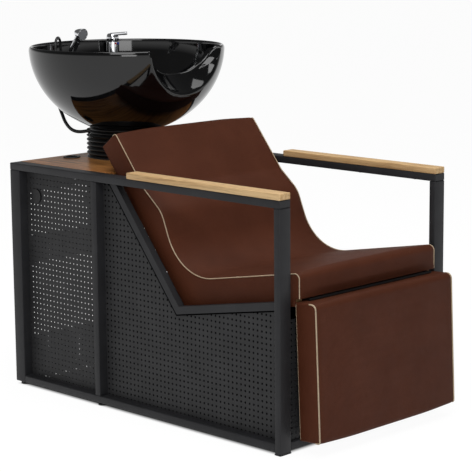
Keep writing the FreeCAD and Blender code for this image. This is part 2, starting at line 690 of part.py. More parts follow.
def half_bowl(radius, depth, centre):
    """Solid half ellipsoid below its flat rim."""
    curve = Part.Ellipse(Vector(0, 0, 0), max(radius, depth), min(radius, depth))
    place = FreeCAD.Placement(Vector(0, 0, 0), FreeCAD.Rotation(X_AXIS, -90))
    if depth > radius:
        place = place.multiply(FreeCAD.Placement(Vector(0, 0, 0), FreeCAD.Rotation(Z_AXIS, 90)))
    curve.transform(place.toMatrix())
    low, side, top = Vector(0, 0, -depth), Vector(radius, 0, 0), Vector(0, 0, 0)
    first, last = sorted((curve.parameter(low), curve.parameter(side)))
    if last - first > math.pi:
        first, last = last, first + 2 * math.pi
    arc = Part.ArcOfEllipse(curve, first, last).toShape()
    lines = [Part.LineSegment(side, top).toShape(), Part.LineSegment(top, low).toShape()]
    face = Part.Face(Part.Wire(Part.__sortEdges__([arc] + lines)))
    solid = face.revolve(Vector(0, 0, 0), Z_AXIS, 360)
    solid.translate(centre)
    return solid


def bolt_angles():
    pitch = 2 * math.pi / YOKE_BOLTS
    return [pitch * index + pitch / 2 for index in range(YOKE_BOLTS)]


def neck_notch():
    """Rounded cut through the front of the rim for the neck."""
    half = [Vector(NOTCH_HALF_WIDTH * x, 0, -NOTCH_DEPTH * z) for x, z in NOTCH_SHARES]
    curve = Part.BSplineCurve()
    curve.interpolate([Vector(-p.x, 0, p.z) for p in half[:0:-1]] + half)
    left, right = curve.StartPoint, curve.EndPoint
    lift = Z_AXIS * NOTCH_DEPTH
    corners = [right, right + lift, left + lift, left]
    lines = [Part.LineSegment(here, there).toShape() for here, there in zip(corners, corners[1:])]
    face = Part.Face(Part.Wire([curve.toShape()] + lines))
    cutter = face.extrude(Y_AXIS * -BOWL_RADIUS)
    cutter.translate(bowl_centre)
    return cutter


def make_bowl():
    inner_radius, inner_depth = BOWL_RADIUS - BOWL_WALL, BOWL_DEPTH - BOWL_WALL
    outer = half_bowl(BOWL_RADIUS, BOWL_DEPTH, bowl_centre)
    boss_low = bowl_rim_z - BOWL_DEPTH - BOSS_DROP
    boss_top = bowl_rim_z - inner_depth
    axis_low, axis_top = Vector(0, bowl_y, boss_low), Vector(0, bowl_y, boss_top)
    outer = outer.fuse(rod(BOSS_RADIUS, axis_low, axis_top))
    cavity = half_bowl(inner_radius, inner_depth, bowl_centre)
    throat = bowl_centre - Y_AXIS * SCOOP_SETBACK
    ledge = box(-BOWL_RADIUS, BOWL_RADIUS, bowl_y + LEDGE_FRONT, rear_y, boss_low, ledge_z)
    cavity = cavity.cut(ball(SCOOP_RADIUS + BOWL_WALL, throat)).cut(ledge)
    bowl = outer.cut(ball(SCOOP_RADIUS, throat)).cut(cavity)
    bowl = bowl.cut(neck_notch())
    hollow = half_bowl(inner_radius, inner_depth, bowl_centre)
    pocket = box(-POCKET_HALF_WIDTH, POCKET_HALF_WIDTH, bowl_y + LEDGE_FRONT + BOWL_WALL, rear_y,
                 bowl_rim_z - POCKET_BOTTOM, ledge_z - BOWL_WALL)
    door = box(-POCKET_HALF_WIDTH, POCKET_HALF_WIDTH, bowl_y + LEDGE_FRONT + BOWL_WALL, rear_y,
               bowl_rim_z - POCKET_BOTTOM, bowl_rim_z - POCKET_TOP)
    bowl = bowl.cut(pocket.common(hollow)).cut(door)
    drain_top = axis_top + Z_AXIS * OVERRUN
    bowl = bowl.cut(rod(DRAIN_RADIUS, axis_low - Z_AXIS * OVERRUN, drain_top))
    shower_axis = shower_direction()
    holder_seat = Vector(SHOWER_X, bowl_y + SHOWER_SETBACK, ledge_z)
    reach = shower_axis * OVERRUN
    bowl = bowl.cut(rod(HANDLE_RADIUS, holder_seat - reach, holder_seat + reach))
    for angle in bolt_angles():
        at = axis_low + Vector(math.cos(angle), math.sin(angle), 0) * YOKE_BOLT_CIRCLE
        grip = Z_AXIS * YOKE_BOLT_GRIP
        bowl = bowl.cut(rod(YOKE_BOLT_RADIUS, at - grip, at + grip))
    keep("bowl", bowl)
    floor_rise = inner_depth * (1 - math.sqrt(1 - (STRAINER_RADIUS / inner_radius) ** 2))
    rest = axis_top + Z_AXIS * (floor_rise + FIT_GAP)
    strainer = rod(STRAINER_RADIUS, rest, rest + Z_AXIS * STRAINER_THICK)
    holes = [axis_top]
    for index in range(STRAINER_HOLES):
        angle = 2 * math.pi * index / STRAINER_HOLES
        turn = Vector(math.cos(angle), math.sin(angle), 0)
        holes.append(axis_top + turn * (DRAIN_RADIUS * STRAINER_HOLE_CIRCLE_SHARE))
    for hole in holes:
        reach = Z_AXIS * OVERRUN
        strainer = strainer.cut(rod(STRAINER_HOLE_RADIUS, hole - reach, hole + reach))
    keep("drain_strainer", strainer)


def shower_direction():
    angle = math.radians(SHOWER_LEAN_DEG)
    return Vector(0, -math.sin(angle), math.cos(angle))


def ribbed_tube(low, high, radius, depth, wall, ribs):
    """Ribbed hose: a ruled run of rings, four to a rib, with a plain bore."""
    run = high - low
    rings = [(0, radius)]
    for index in range(ribs):
        for share, deep in RIB_SHARES:
            rings.append(((index + share) / ribs, radius - depth * deep))
    wires = []
    for share, reach in rings:
        wires.append(Part.Wire(Part.makeCircle(reach, low + run * share, run)))
    skin = Part.makeLoft(wires, True, True)
    bore = radius - depth - wall
    over = run * (OVERRUN / run.Length)
    return skin.cut(rod(bore, low - over, high + over))


def make_tilt_mount():
    top = FRAME_HEIGHT
    base_axis = Vector(0, bellows_y, top)
    low, high = base_axis, base_axis + Z_AXIS * BELLOWS_HEIGHT
    keep("bellows", ribbed_tube(low, high, BELLOWS_RADIUS, BELLOWS_RIB_DEPTH, BELLOWS_WALL, BELLOWS_RIBS))
    collar_top = Vector(0, bellows_y, bowl_rim_z - BOWL_DEPTH / 2)
    collar = ring(COLLAR_RADIUS, COLLAR_RADIUS - COLLAR_WALL, high + Z_AXIS * FIT_GAP, collar_top)
    collar = collar.cut(half_bowl(BOWL_RADIUS + FIT_GAP, BOWL_DEPTH + FIT_GAP, bowl_centre))
    end = bowl_centre + Vector(*SHOWER_HOSE_ROUTE[-1])
    before = bowl_centre + Vector(*SHOWER_HOSE_ROUTE[-2])
    inward = (end - before).normalize()
    port = rod(HOSE_PORT_RADIUS, end, end + inward * HOSE_PORT_LENGTH)
    collar_core = rod(COLLAR_RADIUS - COLLAR_WALL, high, collar_top)
    keep("bellows_collar", collar.fuse(port.cut(collar_core)))
    plate = ring(TILT_BASE_RADIUS, WASTE_HOLE_RADIUS, base_axis, base_axis + Z_AXIS * TILT_PLATE)
    gap, thick, deep = TILT_CHEEK_HALF_GAP, TILT_EAR_THICK, TILT_CHEEK_HALF_DEPTH
    cheek = box(gap, gap + thick, bellows_y - deep, bellows_y + deep, top + TILT_PLATE, pivot.z)
    cheek = cheek.fuse(rod(deep, Vector(gap, pivot.y, pivot.z), Vector(gap + thick, pivot.y, pivot.z)))
    cheeks = [cheek, mirrored(cheek)]
    base = plate.fuse(cheeks[0]).fuse(cheeks[1])
    ear_out = gap - FIT_GAP
    ear_in = ear_out - thick
    yoke_top = bowl_rim_z - BOWL_DEPTH - BOSS_DROP
    yoke = rod(BOSS_RADIUS, Vector(0, bowl_y, yoke_top - TILT_PLATE), Vector(0, bowl_y, yoke_top))
    ear = box(ear_in, ear_out, bellows_y - deep, bellows_y + deep, pivot.z, yoke_top - TILT_PLATE)
    ear = ear.fuse(rod(deep, Vector(ear_in, pivot.y, pivot.z), Vector(ear_out, pivot.y, pivot.z)))
    yoke = yoke.fuse(ear).fuse(mirrored(ear))
    pins = []
    for side in (1, -1):
        inner = Vector(side * ear_in, pivot.y, pivot.z)
        outer = Vector(side * (gap + thick), pivot.y, pivot.z)
        hole = rod(TILT_PIN_RADIUS + TILT_PIN_CLEARANCE, inner - X_AXIS * side * FIT_GAP, outer)
        yoke = yoke.cut(hole)
        pin = rod(TILT_PIN_RADIUS, inner, outer)
        base = base.cut(rod(TILT_PIN_RADIUS, inner, outer + X_AXIS * side * FIT_GAP))
        pins.append(pin.fuse(rod(TILT_PIN_HEAD_RADIUS, outer, outer + X_AXIS * side * TILT_PIN_HEAD_THICK)))
    keep("tilt_base", base.removeSplitter())
    keep("tilt_pins", group(pins))
    bore = Vector(0, bowl_y, yoke_top)
    yoke = yoke.cut(rod(WASTE_NUT_RADIUS + FIT_GAP, bore - Z_AXIS * OVERRUN, bore + Z_AXIS * OVERRUN))
    bolts = []
    under = Vector(0, bowl_y, yoke_top - TILT_PLATE)
    for angle in bolt_angles():
        at = under + Vector(math.cos(angle), math.sin(angle), 0) * YOKE_BOLT_CIRCLE
        head = rod(YOKE_BOLT_HEAD_RADIUS, at - Z_AXIS * YOKE_BOLT_HEAD_THICK, at)
        bolt = head.fuse(rod(YOKE_BOLT_RADIUS, at, at + Z_AXIS * (TILT_PLATE + YOKE_BOLT_GRIP)))
        yoke = yoke.cut(bolt)
        bolts.append(bolt)
    keep("tilt_yoke", yoke.removeSplitter())
    keep("yoke_bolts", group(bolts))


def make_waste():
    boss_low = Vector(0, bowl_y, bowl_rim_z - BOWL_DEPTH - BOSS_DROP)
    floor = Vector(0, bowl_y, bowl_rim_z - BOWL_DEPTH + BOWL_WALL)
    tail_low = boss_low - Z_AXIS * WASTE_TAIL_LENGTH
    tail = rod(DRAIN_RADIUS, tail_low, floor)
    tail = tail.fuse(rod(WASTE_NUT_RADIUS, boss_low - Z_AXIS * WASTE_NUT_THICK, boss_low))
    bore = rod(DRAIN_RADIUS - WASTE_WALL, tail_low - Z_AXIS * OVERRUN, floor + Z_AXIS * OVERRUN)
    keep("waste_tail", tail.cut(bore))
    trap_top = Vector(0, bowl_y, trap_top_z)
    neck_top = trap_top + Z_AXIS * TRAP_NECK_HEIGHT
    keep("waste_hose", ribbed_tube(neck_top, tail_low, WASTE_HOSE_RADIUS, WASTE_HOSE_RIB_DEPTH,
                                   WASTE_HOSE_WALL, WASTE_HOSE_RIBS))
    trap = rod(TRAP_RADIUS, Vector(0, bowl_y, trap_low_z), trap_top)
    round_edges = [e for e in trap.Edges if abs(e.CenterOfMass.z - trap_low_z) < FIT_GAP]
    trap = trap.makeFillet(TRAP_NECK_RADIUS / 2, round_edges)
    trap = trap.fuse(rod(TRAP_NECK_RADIUS, trap_top, neck_top))
    keep("waste_trap", trap)
    panel_rear = FRAME_LENGTH - TUBE_THICK / 2 + PANEL_THICK
    start = Vector(0, bowl_y + math.sqrt(TRAP_RADIUS ** 2 - OUTLET_RADIUS ** 2), outlet_z)
    flange = Vector(0, panel_rear, outlet_z)
    pipe = rod(OUTLET_RADIUS, start, flange + Y_AXIS * OUTLET_PROUD)
    pipe = pipe.cut(rod(TRAP_RADIUS, Vector(0, bowl_y, trap_low_z), trap_top))
    pipe = pipe.fuse(rod(OUTLET_FLANGE_RADIUS, flange, flange + Y_AXIS * OUTLET_FLANGE_THICK))
    end = flange + Y_AXIS * (OUTLET_PROUD + OVERRUN)
    keep("waste_outlet", pipe.cut(rod(OUTLET_RADIUS - OUTLET_WALL, start + Y_AXIS * TRAP_RADIUS, end)))
    inlets = []
    for x in (-INLET_X, INLET_X):
        skin = Vector(x, panel_rear, INLET_Z)
        stub = rod(INLET_RADIUS, skin - Y_AXIS * INLET_TAIL, skin + Y_AXIS * INLET_PROUD)
        stub = stub.fuse(rod(INLET_NUT_RADIUS, skin, skin + Y_AXIS * INLET_NUT_THICK))
        bore = rod(INLET_BORE_RADIUS, skin - Y_AXIS * OVERRUN, skin + Y_AXIS * OVERRUN)
        inlets.append(stub.cut(bore))
    keep("water_inlets", group(inlets))


def make_mixer():
    seat = Vector(MIXER_X, bowl_y + MIXER_SETBACK, ledge_z)
    body_top = seat + Z_AXIS * MIXER_BODY_HEIGHT
    body = rod(MIXER_BASE_RADIUS, seat, seat + Z_AXIS * MIXER_BASE_THICK)
    body = body.fuse(rod(MIXER_RADIUS, seat, body_top))
    body = body.fuse(rod(MIXER_SPIGOT_RADIUS, body_top, body_top + Z_AXIS * MIXER_SPIGOT_HEIGHT))
    dots = []
    for side in (-1, 1):
        at = seat + Vector(side * MIXER_INDEX_APART, -MIXER_RADIUS, MIXER_BODY_HEIGHT - MIXER_INDEX_DROP)
        dot = rod(MIXER_INDEX_RADIUS, at - Y_AXIS * MIXER_INDEX_PROUD, at + Y_AXIS * MIXER_INDEX_RADIUS)
        dots.append(dot.cut(body))
    keep("mixer_index", group(dots))
    keep("mixer_body", body)
    cap_low = body_top + Z_AXIS * FIT_GAP
    cap_top = cap_low + Z_AXIS * MIXER_CAP_HEIGHT
    dome = rod(MIXER_RADIUS, cap_low, cap_top)
    crown = [e for e in dome.Edges if abs(e.CenterOfMass.z - cap_top.z) < FIT_GAP]
    dome = dome.makeFillet(MIXER_RADIUS / 2, crown)
    socket = MIXER_SPIGOT_RADIUS + MIXER_SPIGOT_CLEARANCE
    socket_top = body_top + Z_AXIS * (MIXER_SPIGOT_HEIGHT + FIT_GAP)
    dome = dome.cut(rod(socket, body_top - Z_AXIS * FIT_GAP, socket_top))
    hinge = lever_pivot()
    half_slot = LEVER_WIDTH / 2 + LEVER_SLOT_GAP
    slot = box(seat.x - half_slot, seat.x + half_slot,
               seat.y - MIXER_RADIUS - OVERRUN, hinge.y + LEVER_WIDTH / 2,
               hinge.z - LEVER_THICK, cap_top.z + OVERRUN)
    dome = dome.cut(slot)
    ends = X_AXIS * (MIXER_RADIUS - LEVER_PIN_RADIUS)
    pin = rod(LEVER_PIN_RADIUS, hinge - ends, hinge + ends).common(rod(MIXER_RADIUS, seat, cap_top))
    keep("mixer_cap", dome.fuse(pin))
    half_root, half_tip = LEVER_WIDTH / 2, LEVER_TIP_WIDTH / 2
    tip_y = hinge.y - LEVER_LENGTH
    low, high = hinge.z - LEVER_THICK / 2, hinge.z + LEVER_THICK / 2
    corners = [Vector(seat.x - half_root, hinge.y, low), Vector(seat.x - half_tip, tip_y, low),
               Vector(seat.x + half_tip, tip_y, low), Vector(seat.x + half_root, hinge.y, low)]
    blade = Part.Face(Part.makePolygon(corners + corners[:1])).extrude(Z_AXIS * (high - low))
    root = rod(LEVER_BARREL_RADIUS, hinge - X_AXIS * half_root, hinge + X_AXIS * half_root)
    hole = rod(LEVER_PIN_RADIUS + LEVER_PIN_CLEARANCE, hinge - X_AXIS * OVERRUN, hinge + X_AXIS * OVERRUN)
    keep("mixer_lever", blade.fuse(root).cut(hole).removeSplitter())


def lever_pivot():
    rise = MIXER_BODY_HEIGHT + MIXER_SPIGOT_HEIGHT + LEVER_THICK + LEVER_PIN_RADIUS
    return Vector(MIXER_X, bowl_y + MIXER_SETBACK, ledge_z + rise)


def make_hand_shower():
    along = shower_direction()
    seat = Vector(SHOWER_X, bowl_y + SHOWER_SETBACK, ledge_z)
    foot = rod(HOLDER_BASE_RADIUS, seat, seat + Z_AXIS * HOLDER_BASE_THICK)
    sleeve = rod(HOLDER_RADIUS, seat - along * HOLDER_LENGTH, seat + along * HOLDER_LENGTH)
    above = box(-BOWL_RADIUS, BOWL_RADIUS, bowl_y, rear_y, ledge_z, bowl_rim_z)
    holder = foot.fuse(sleeve.common(above))
    bore = HANDLE_RADIUS + HOLDER_RUN_GAP
    holder = holder.cut(rod(bore, seat - along * OVERRUN, seat + along * (HOLDER_LENGTH + OVERRUN)))
    keep("shower_holder", holder)
    grip_end = seat + along * HANDLE_LENGTH
    keep("shower_handle", rod(HANDLE_RADIUS, seat, grip_end))
    aim_angle = math.radians(SHOWER_LEAN_DEG + HEAD_TILT_DEG)
    aim = Vector(0, -math.sin(aim_angle), math.cos(aim_angle))
    neck = Part.makeCone(HANDLE_RADIUS, HEAD_NECK_RADIUS, HEAD_NECK_RADIUS, grip_end, along)
    middle = grip_end + along * (HEAD_NECK_RADIUS + HEAD_RADIUS / 2)
    back = middle - aim * HEAD_TAIL_LENGTH
    shell = Part.makeCone(HEAD_NECK_RADIUS, HEAD_RADIUS, HEAD_FLARE_LENGTH, back, aim)
    head = neck.fuse(shell).fuse(ball(HEAD_NECK_RADIUS, back))
    head = head.cut(rod(HANDLE_RADIUS + FIT_GAP, seat, grip_end))
    face_at = back + aim * HEAD_FLARE_LENGTH
    disc = HEAD_RADIUS - SPRAY_FACE_INSET
    face = rod(disc, face_at - aim * SPRAY_FACE_THICK, face_at + aim * FIT_GAP)
    keep("shower_head", head.cut(face))
    keep("shower_face", face)


def cord_tube(route, diameter):
    """Hose along its points: straight runs joined by tangent arcs as large as the runs allow."""
    points = [bowl_centre + Vector(*p) for p in route]
    edges = []
    here = points[0]
    radii = []
    for before, point, after in zip(points, points[1:], points[2:]):
        come, go = point - before, after - point
        turn = come.getAngle(go)
        set_back = CORNER_SHARE * min(come.Length, go.Length)
        radii.append(set_back / math.tan(turn / 2))
        come.normalize()
        go.normalize()
        start, end = point - come * set_back, point + go * set_back
        inward = (go - come).normalize()
        apex = math.sqrt(set_back ** 2 + radii[-1] ** 2) - radii[-1]
        middle = point + inward * apex
        edges.append(Part.LineSegment(here, start).toShape())
        edges.append(Part.Arc(start, middle, end).toShape())
        here = end
    edges.append(Part.LineSegment(here, points[-1]).toShape())
    path = Part.Wire(edges)
    length = path.Length
    ring_wire = Part.Wire(Part.makeCircle(diameter / 2, points[0], points[1] - points[0]))
    tube = path.makePipeShell([ring_wire], True, False)
    print("hose length", round(length), "tightest bend", round(min(radii)))
    return tube


def make_hoses():
    keep("shower_hose", cord_tube(SHOWER_HOSE_ROUTE, SHOWER_HOSE_DIAMETER))
    keep("arch_hose", cord_tube(ARCH_HOSE_ROUTE, ARCH_HOSE_DIAMETER))
    glands = []
    for x, y, z in (ARCH_HOSE_ROUTE[0], ARCH_HOSE_ROUTE[-1]):
        at = Vector(x, bowl_y + y, ledge_z)
        glands.append(rod(ARCH_GLAND_RADIUS, at, bowl_centre + Vector(x, y, z)))
    keep("arch_glands", group(glands))


make_frame()
make_seat_tubes()
make_feet()
make_panels()
arm_screws = make_wood()
keep("wood_screws", group(arm_screws + make_seat()))
make_leg_rest()
make_bowl()
make_tilt_mount()
make_waste()
make_mixer()
make_hand_shower()
make_hoses()

os.makedirs("parts", exist_ok=True)
for node, shape in parts.items():
    moved = shape.copy()
    moved.translate(origin_shift)
    moved.exportStep("parts/" + node + ".step")
print(len(parts), "nodes, origin shift", round(origin_shift.y, 3))
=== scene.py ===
import math
import bpy
from mathutils import Matrix, Vector


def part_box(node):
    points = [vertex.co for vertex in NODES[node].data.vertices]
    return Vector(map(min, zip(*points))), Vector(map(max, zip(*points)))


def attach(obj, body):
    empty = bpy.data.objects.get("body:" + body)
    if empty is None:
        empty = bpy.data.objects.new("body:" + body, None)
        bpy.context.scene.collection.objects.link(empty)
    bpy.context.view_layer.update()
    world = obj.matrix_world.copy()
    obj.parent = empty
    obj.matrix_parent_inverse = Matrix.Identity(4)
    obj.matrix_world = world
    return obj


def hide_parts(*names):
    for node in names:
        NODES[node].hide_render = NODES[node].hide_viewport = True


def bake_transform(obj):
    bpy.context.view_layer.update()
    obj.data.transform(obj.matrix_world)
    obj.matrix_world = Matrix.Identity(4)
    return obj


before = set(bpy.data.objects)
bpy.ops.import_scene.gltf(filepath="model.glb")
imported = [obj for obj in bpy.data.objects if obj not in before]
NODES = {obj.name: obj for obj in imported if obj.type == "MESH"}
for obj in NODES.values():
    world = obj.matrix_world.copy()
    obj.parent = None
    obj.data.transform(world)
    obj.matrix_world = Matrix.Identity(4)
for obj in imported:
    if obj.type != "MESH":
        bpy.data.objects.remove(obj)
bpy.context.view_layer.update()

# Lengths are millimetres from the middle, the front of the legs and the floor.
# place() turns them into the frame's metres.
MM = 0.001
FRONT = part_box("front_leg_left")[0].y
ACROSS, ALONG = 0, 1
BOWL = Vector((0.0, 903.0, 964.0))


def place(x, y, z):
    return Vector((x * MM, y * MM + FRONT, z * MM))


def bowl_point(point):
    """A point given from the middle of the bowl's rim."""
    return place(*(BOWL + Vector(point)))


class Signal:
    """A shader socket that takes part in sums."""

    def __init__(self, finish, socket):
        self.finish = finish
        self.socket = socket

    def sum(self, operation, *values):
        return self.finish.node("ShaderNodeMath", {"operation": operation}, dict(enumerate(values)))

    def __add__(self, other):
        return self.sum("ADD", self, other)

    def __sub__(self, other):
        return self.sum("SUBTRACT", self, other)

    def __rsub__(self, other):
        return self.sum("SUBTRACT", other, self)

    def __mul__(self, other):
        return self.sum("MULTIPLY", self, other)


class Finish:
    """One procedural material."""

    def __init__(self, name, **values):
        self.material = bpy.data.materials.new(name)
        self.material.use_nodes = True
        self.tree = self.material.node_tree
        self.shader = self.tree.nodes["Principled BSDF"]
        for socket, value in values.items():
            self.set(socket.replace("_", " "), value)
        self.place = self.node("ShaderNodeTexCoord", {}, {}, "Object")

    def set(self, socket, value):
        self.wire(self.shader.inputs[socket], value)

    def wire(self, socket, value):
        if isinstance(value, Signal):
            self.tree.links.new(value.socket, socket)
        elif isinstance(value, tuple) and len(value) == 3 and socket.type == "RGBA":
            socket.default_value = (*value, 1.0)
        else:
            socket.default_value = value

    def node(self, kind, settings, inputs, output=0):
        node = self.tree.nodes.new(kind)
        for name, value in settings.items():
            setattr(node, name, value)
        for name, value in inputs.items():
            self.wire(node.inputs[name], value)
        return Signal(self, node.outputs[output])

    def stretched(self, x, y, z):
        return self.node("ShaderNodeMapping", {}, {"Vector": self.place, "Scale": Vector((x, y, z))})

    def noise(self, scale, detail=3.0, rough=0.55, vector=None, twist=0.0):
        inputs = {"Vector": vector or self.place, "Scale": scale, "Detail": detail,
                  "Roughness": rough, "Distortion": twist}
        return self.node("ShaderNodeTexNoise", {}, inputs)

    def cell_edges(self, scale):
        return self.node("ShaderNodeTexVoronoi", {"feature": "DISTANCE_TO_EDGE"},
                         {"Vector": self.place, "Scale": scale}, "Distance")

    def between(self, value, low, high):
        inputs = {"Value": value, "From Min": low, "From Max": high}
        return self.node("ShaderNodeMapRange", {}, inputs)

    def uneven(self, value, middle, spread):
        """A value from nought to one, spread about a middle."""
        return value * spread + (middle - spread / 2)

    def mix(self, factor, first, second):
        return self.node("ShaderNodeMix", {"data_type": "RGBA"}, {0: factor, 6: first, 7: second}, 2)

    def bump(self, height, distance, strength):
        inputs = {"Height": height, "Distance": distance, "Strength": strength}
        self.set("Normal", self.node("ShaderNodeBump", {}, inputs))


def shaded(tint, share):
    """A tint made darker or lighter by a share."""
    return tuple(part * share for part in tint)


def colour(red, green, blue):
    """Display colour, 0 to 255, as the shader wants it."""
    values = []
    for part in (red, green, blue):
        share = part / 255
        values.append(share / 12.92 if share <= 0.04045 else ((share + 0.055) / 1.055) ** 2.4)
    return tuple(values)


def paint(name, tint, rough):
    """Powder coat: fine orange peel, with a little dust in the colour and uneven gloss."""
    made = Finish(name, Specular_IOR_Level=0.22)
    dust = made.noise(scale=14.0, detail=5.0)
    dusty = shaded(tint, 1.28)
    made.set("Base Color", made.mix(made.between(dust, 0.42, 0.72), tint, dusty))
    made.set("Roughness", made.uneven(made.noise(scale=60.0), rough, spread=0.14))
    made.bump(made.noise(scale=1100.0, detail=2.0), distance=0.00012, strength=0.5)
    return made.material


def leather(name, dark, light):
    """Leatherette: cloudy brown over a fine cell grain, with shallow folds."""
    made = Finish(name, Specular_IOR_Level=0.12)
    cloud = made.noise(scale=7.0, detail=6.0, rough=0.6)
    grain = made.cell_edges(scale=820.0)
    fine = made.noise(scale=1700.0, detail=2.0)
    folds = made.noise(scale=26.0, detail=5.0, rough=0.62, twist=0.7)
    mottled = made.mix(made.between(cloud, 0.36, 0.66), dark, light)
    made.set("Base Color", made.mix(made.between(grain, 0.02, 0.16), shaded(dark, 0.62), mottled))
    made.set("Roughness", made.uneven(made.noise(scale=22.0, detail=4.0), 0.58, spread=0.16))
    relief = made.between(grain, 0.0, 0.3) * 0.30 + fine * 0.10 + folds * 2.2
    made.bump(relief, distance=0.0007, strength=0.55)
    return made.material


def wood(name, dark, light, pore, streak=0.35, rough=0.50, shine=0.35):
    """Boards run front to back, so the grain is drawn out along Y."""
    made = Finish(name, Specular_IOR_Level=shine)
    bend = made.noise(scale=2.4, detail=2.0, vector=made.stretched(3.0, 0.5, 3.0))
    figure = made.noise(scale=1.0, detail=5.0, rough=0.6, vector=made.stretched(34.0, 1.6, 34.0),
                        twist=1.3)
    bands = made.node("ShaderNodeTexWave", {"bands_direction": "X", "wave_profile": "SIN"},
                      {"Vector": made.stretched(1.0, 0.05, 1.0), "Scale": 22.0, "Distortion": 7.0,
                       "Detail": 3.0, "Detail Scale": 1.6}, "Fac")
    streaks = made.noise(scale=1.0, detail=4.0, rough=0.65, vector=made.stretched(150.0, 7.0, 150.0),
                         twist=0.4)
    pores = made.noise(scale=1.0, detail=3.0, rough=0.7, vector=made.stretched(900.0, 22.0, 900.0))
    tone = made.mix(made.between(figure * 0.7 + bands * 0.22 + bend * 0.2, 0.30, 0.86), dark, light)
    streaked = made.mix(made.between(streaks, 0.47, 0.66) * streak, tone, pore)
    open_pores = made.between(pores, 0.60, 0.74)
    made.set("Base Color", made.mix(open_pores * 0.55, streaked, pore))
    made.set("Roughness", made.uneven(pores, rough, spread=0.2))
    made.bump(1.0 - open_pores, distance=0.00016, strength=0.5)
    return made.material


def moulded(name, tint, rough, shine=0.5, relief=0.0001, spread=0.06):
    """Cast or moulded stuff: a faint haze in the colour and a fine skin."""
    made = Finish(name, Specular_IOR_Level=shine)
    haze = made.noise(scale=9.0, detail=4.0)
    pale = tuple(part + 0.002 for part in shaded(tint, 1.3))
    made.set("Base Color", made.mix(made.between(haze, 0.40, 0.75), tint, pale))
    made.set("Roughness", made.uneven(made.noise(scale=45.0), rough, spread))
    made.bump(made.noise(scale=700.0, detail=2.0), distance=relief, strength=0.4)
    return made.material


def metal(name, tint, rough, spread=0.05):
    """Bare or plated metal with smears that dull it."""
    made = Finish(name, Metallic=1.0)
    smear = made.noise(scale=38.0, detail=4.0)
    made.set("Base Color", made.mix(made.between(smear, 0.45, 0.75), tint, shaded(tint, 0.86)))
    made.set("Roughness", made.uneven(made.noise(scale=120.0, detail=4.0), rough, spread))
    return made.material


PAINT = paint("frame_powder_coat", colour(41, 41, 43), rough=0.46)
SHEET = paint("sheet_powder_coat", colour(47, 47, 48), rough=0.52)
LEATHER = leather("brown_leatherette", colour(84, 43, 26), colour(96, 52, 34))
PIPING = leather("cream_piping", colour(196, 172, 142), colour(224, 204, 176))
OAK = wood("oak_armrest", colour(206, 162, 108), colour(240, 208, 158), colour(134, 92, 52), streak=0.45)
TOP_WOOD = wood("cabinet_top", colour(150, 86, 38), colour(234, 168, 98), colour(64, 32, 14),
                streak=0.85, rough=0.32, shine=0.42)
PLYWOOD = wood("plywood", colour(160, 126, 84), colour(196, 162, 116), colour(120, 88, 54))
GLAZE = moulded("bowl_glaze", colour(5, 5, 6), rough=0.06, relief=0.00002, spread=0.02)
PLASTIC = moulded("black_plastic", colour(18, 18, 19), rough=0.38, shine=0.3)
RUBBER = moulded("black_rubber", colour(27, 27, 28), rough=0.40, relief=0.0002)
# Near-black sheet finish: painted shade for the cabinet's dark inside behind the front side sheets.
SHADE_BLACK = moulded("painted_shade_black", colour(9, 9, 10), rough=0.92, shine=0.05, relief=0.0004)
SPRAY = moulded("spray_face", colour(132, 134, 138), rough=0.36)
CHROME = metal("chrome", (0.72, 0.73, 0.75), rough=0.075)
# Steel tinted near black: painted shade for the gap between seat and leg rest, where the hinge leaves
# show; the screws, pins and bolts take it too.
SHADE_DARK_STEEL = metal("zinc_steel", (0.03, 0.03, 0.031), rough=0.48, spread=0.12)
BRASS = metal("brass_fitting", (0.62, 0.46, 0.22), rough=0.33, spread=0.1)


def index_finish():
    """Hot and cold dots: red on one side of the tap, blue on the other."""
    made = Finish("tap_index", Roughness=0.3)
    low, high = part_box("mixer_index")
    middle, blur = (low.x + high.x) / 2, 0.1 * MM
    across = made.node("ShaderNodeSeparateXYZ", {}, {"Vector": made.place}, "X")
    side = made.between(across, middle - blur, middle + blur)
    made.set("Base Color", made.mix(side, colour(190, 30, 28), colour(30, 60, 170)))
    return made.material


# CAD nodes that show as they are, by their finish.
CARRIED = {
    PAINT: ("seat_rails", "back_rails", "tube_plugs_and_glides", "board_brackets", "tilt_base",
            "tilt_yoke"),
    PLASTIC: ("levelling_feet", "panel_cap", "hose_grommet", "waste_trap", "waste_tail", "waste_outlet",
              "arch_glands"),
    SHADE_DARK_STEEL: ("wood_screws", "tilt_pins", "yoke_bolts", "leg_hinge_fixed_leaf", "leg_hinge_moving_leaf",
           "leg_hinge_pin"),
    TOP_WOOD: ("wood_top",),
    PLYWOOD: ("seat_board", "back_board", "leg_rest_board"),
    CHROME: ("drain_strainer",),
    BRASS: ("water_inlets",),
    SPRAY: ("shower_face",),
    index_finish(): ("mixer_index",),
}


def finish_nodes():
    for material, names in CARRIED.items():
        for name in names:
            node = NODES[name]
            if not node.material_slots:
                node.data.materials.append(material)
            for slot in node.material_slots:
                slot.material = material


def clear():
    if bpy.context.object and bpy.context.object.mode != "OBJECT":
        bpy.ops.object.mode_set(mode="OBJECT")
    bpy.ops.object.select_all(action="DESELECT")


def hold(made):
    clear()
    made.select_set(True)
    bpy.context.view_layer.objects.active = made
    return made


def settle(made):
    """Leave the shape where it is, with the object itself at the origin."""
    hold(made)
    bpy.ops.object.transform_apply(location=True, rotation=True, scale=True)
    return made


def modify(made, kind, **settings):
    hold(made)
    modifier = made.modifiers.new(kind.lower(), kind)
    for name, value in settings.items():
        setattr(modifier, name, value)
    bpy.ops.object.modifier_apply(modifier=modifier.name)
    return made


def smooth(made, degrees=35.0):
    hold(made)
    bpy.ops.object.shade_smooth_by_angle(angle=math.radians(degrees))
    return made


def mesh_piece(name, points, edges, faces):
    mesh = bpy.data.meshes.new(name)
    mesh.from_pydata([tuple(p) for p in points], edges, faces)
    made = bpy.data.objects.new(name, mesh)
    bpy.context.scene.collection.objects.link(made)
    return hold(made)


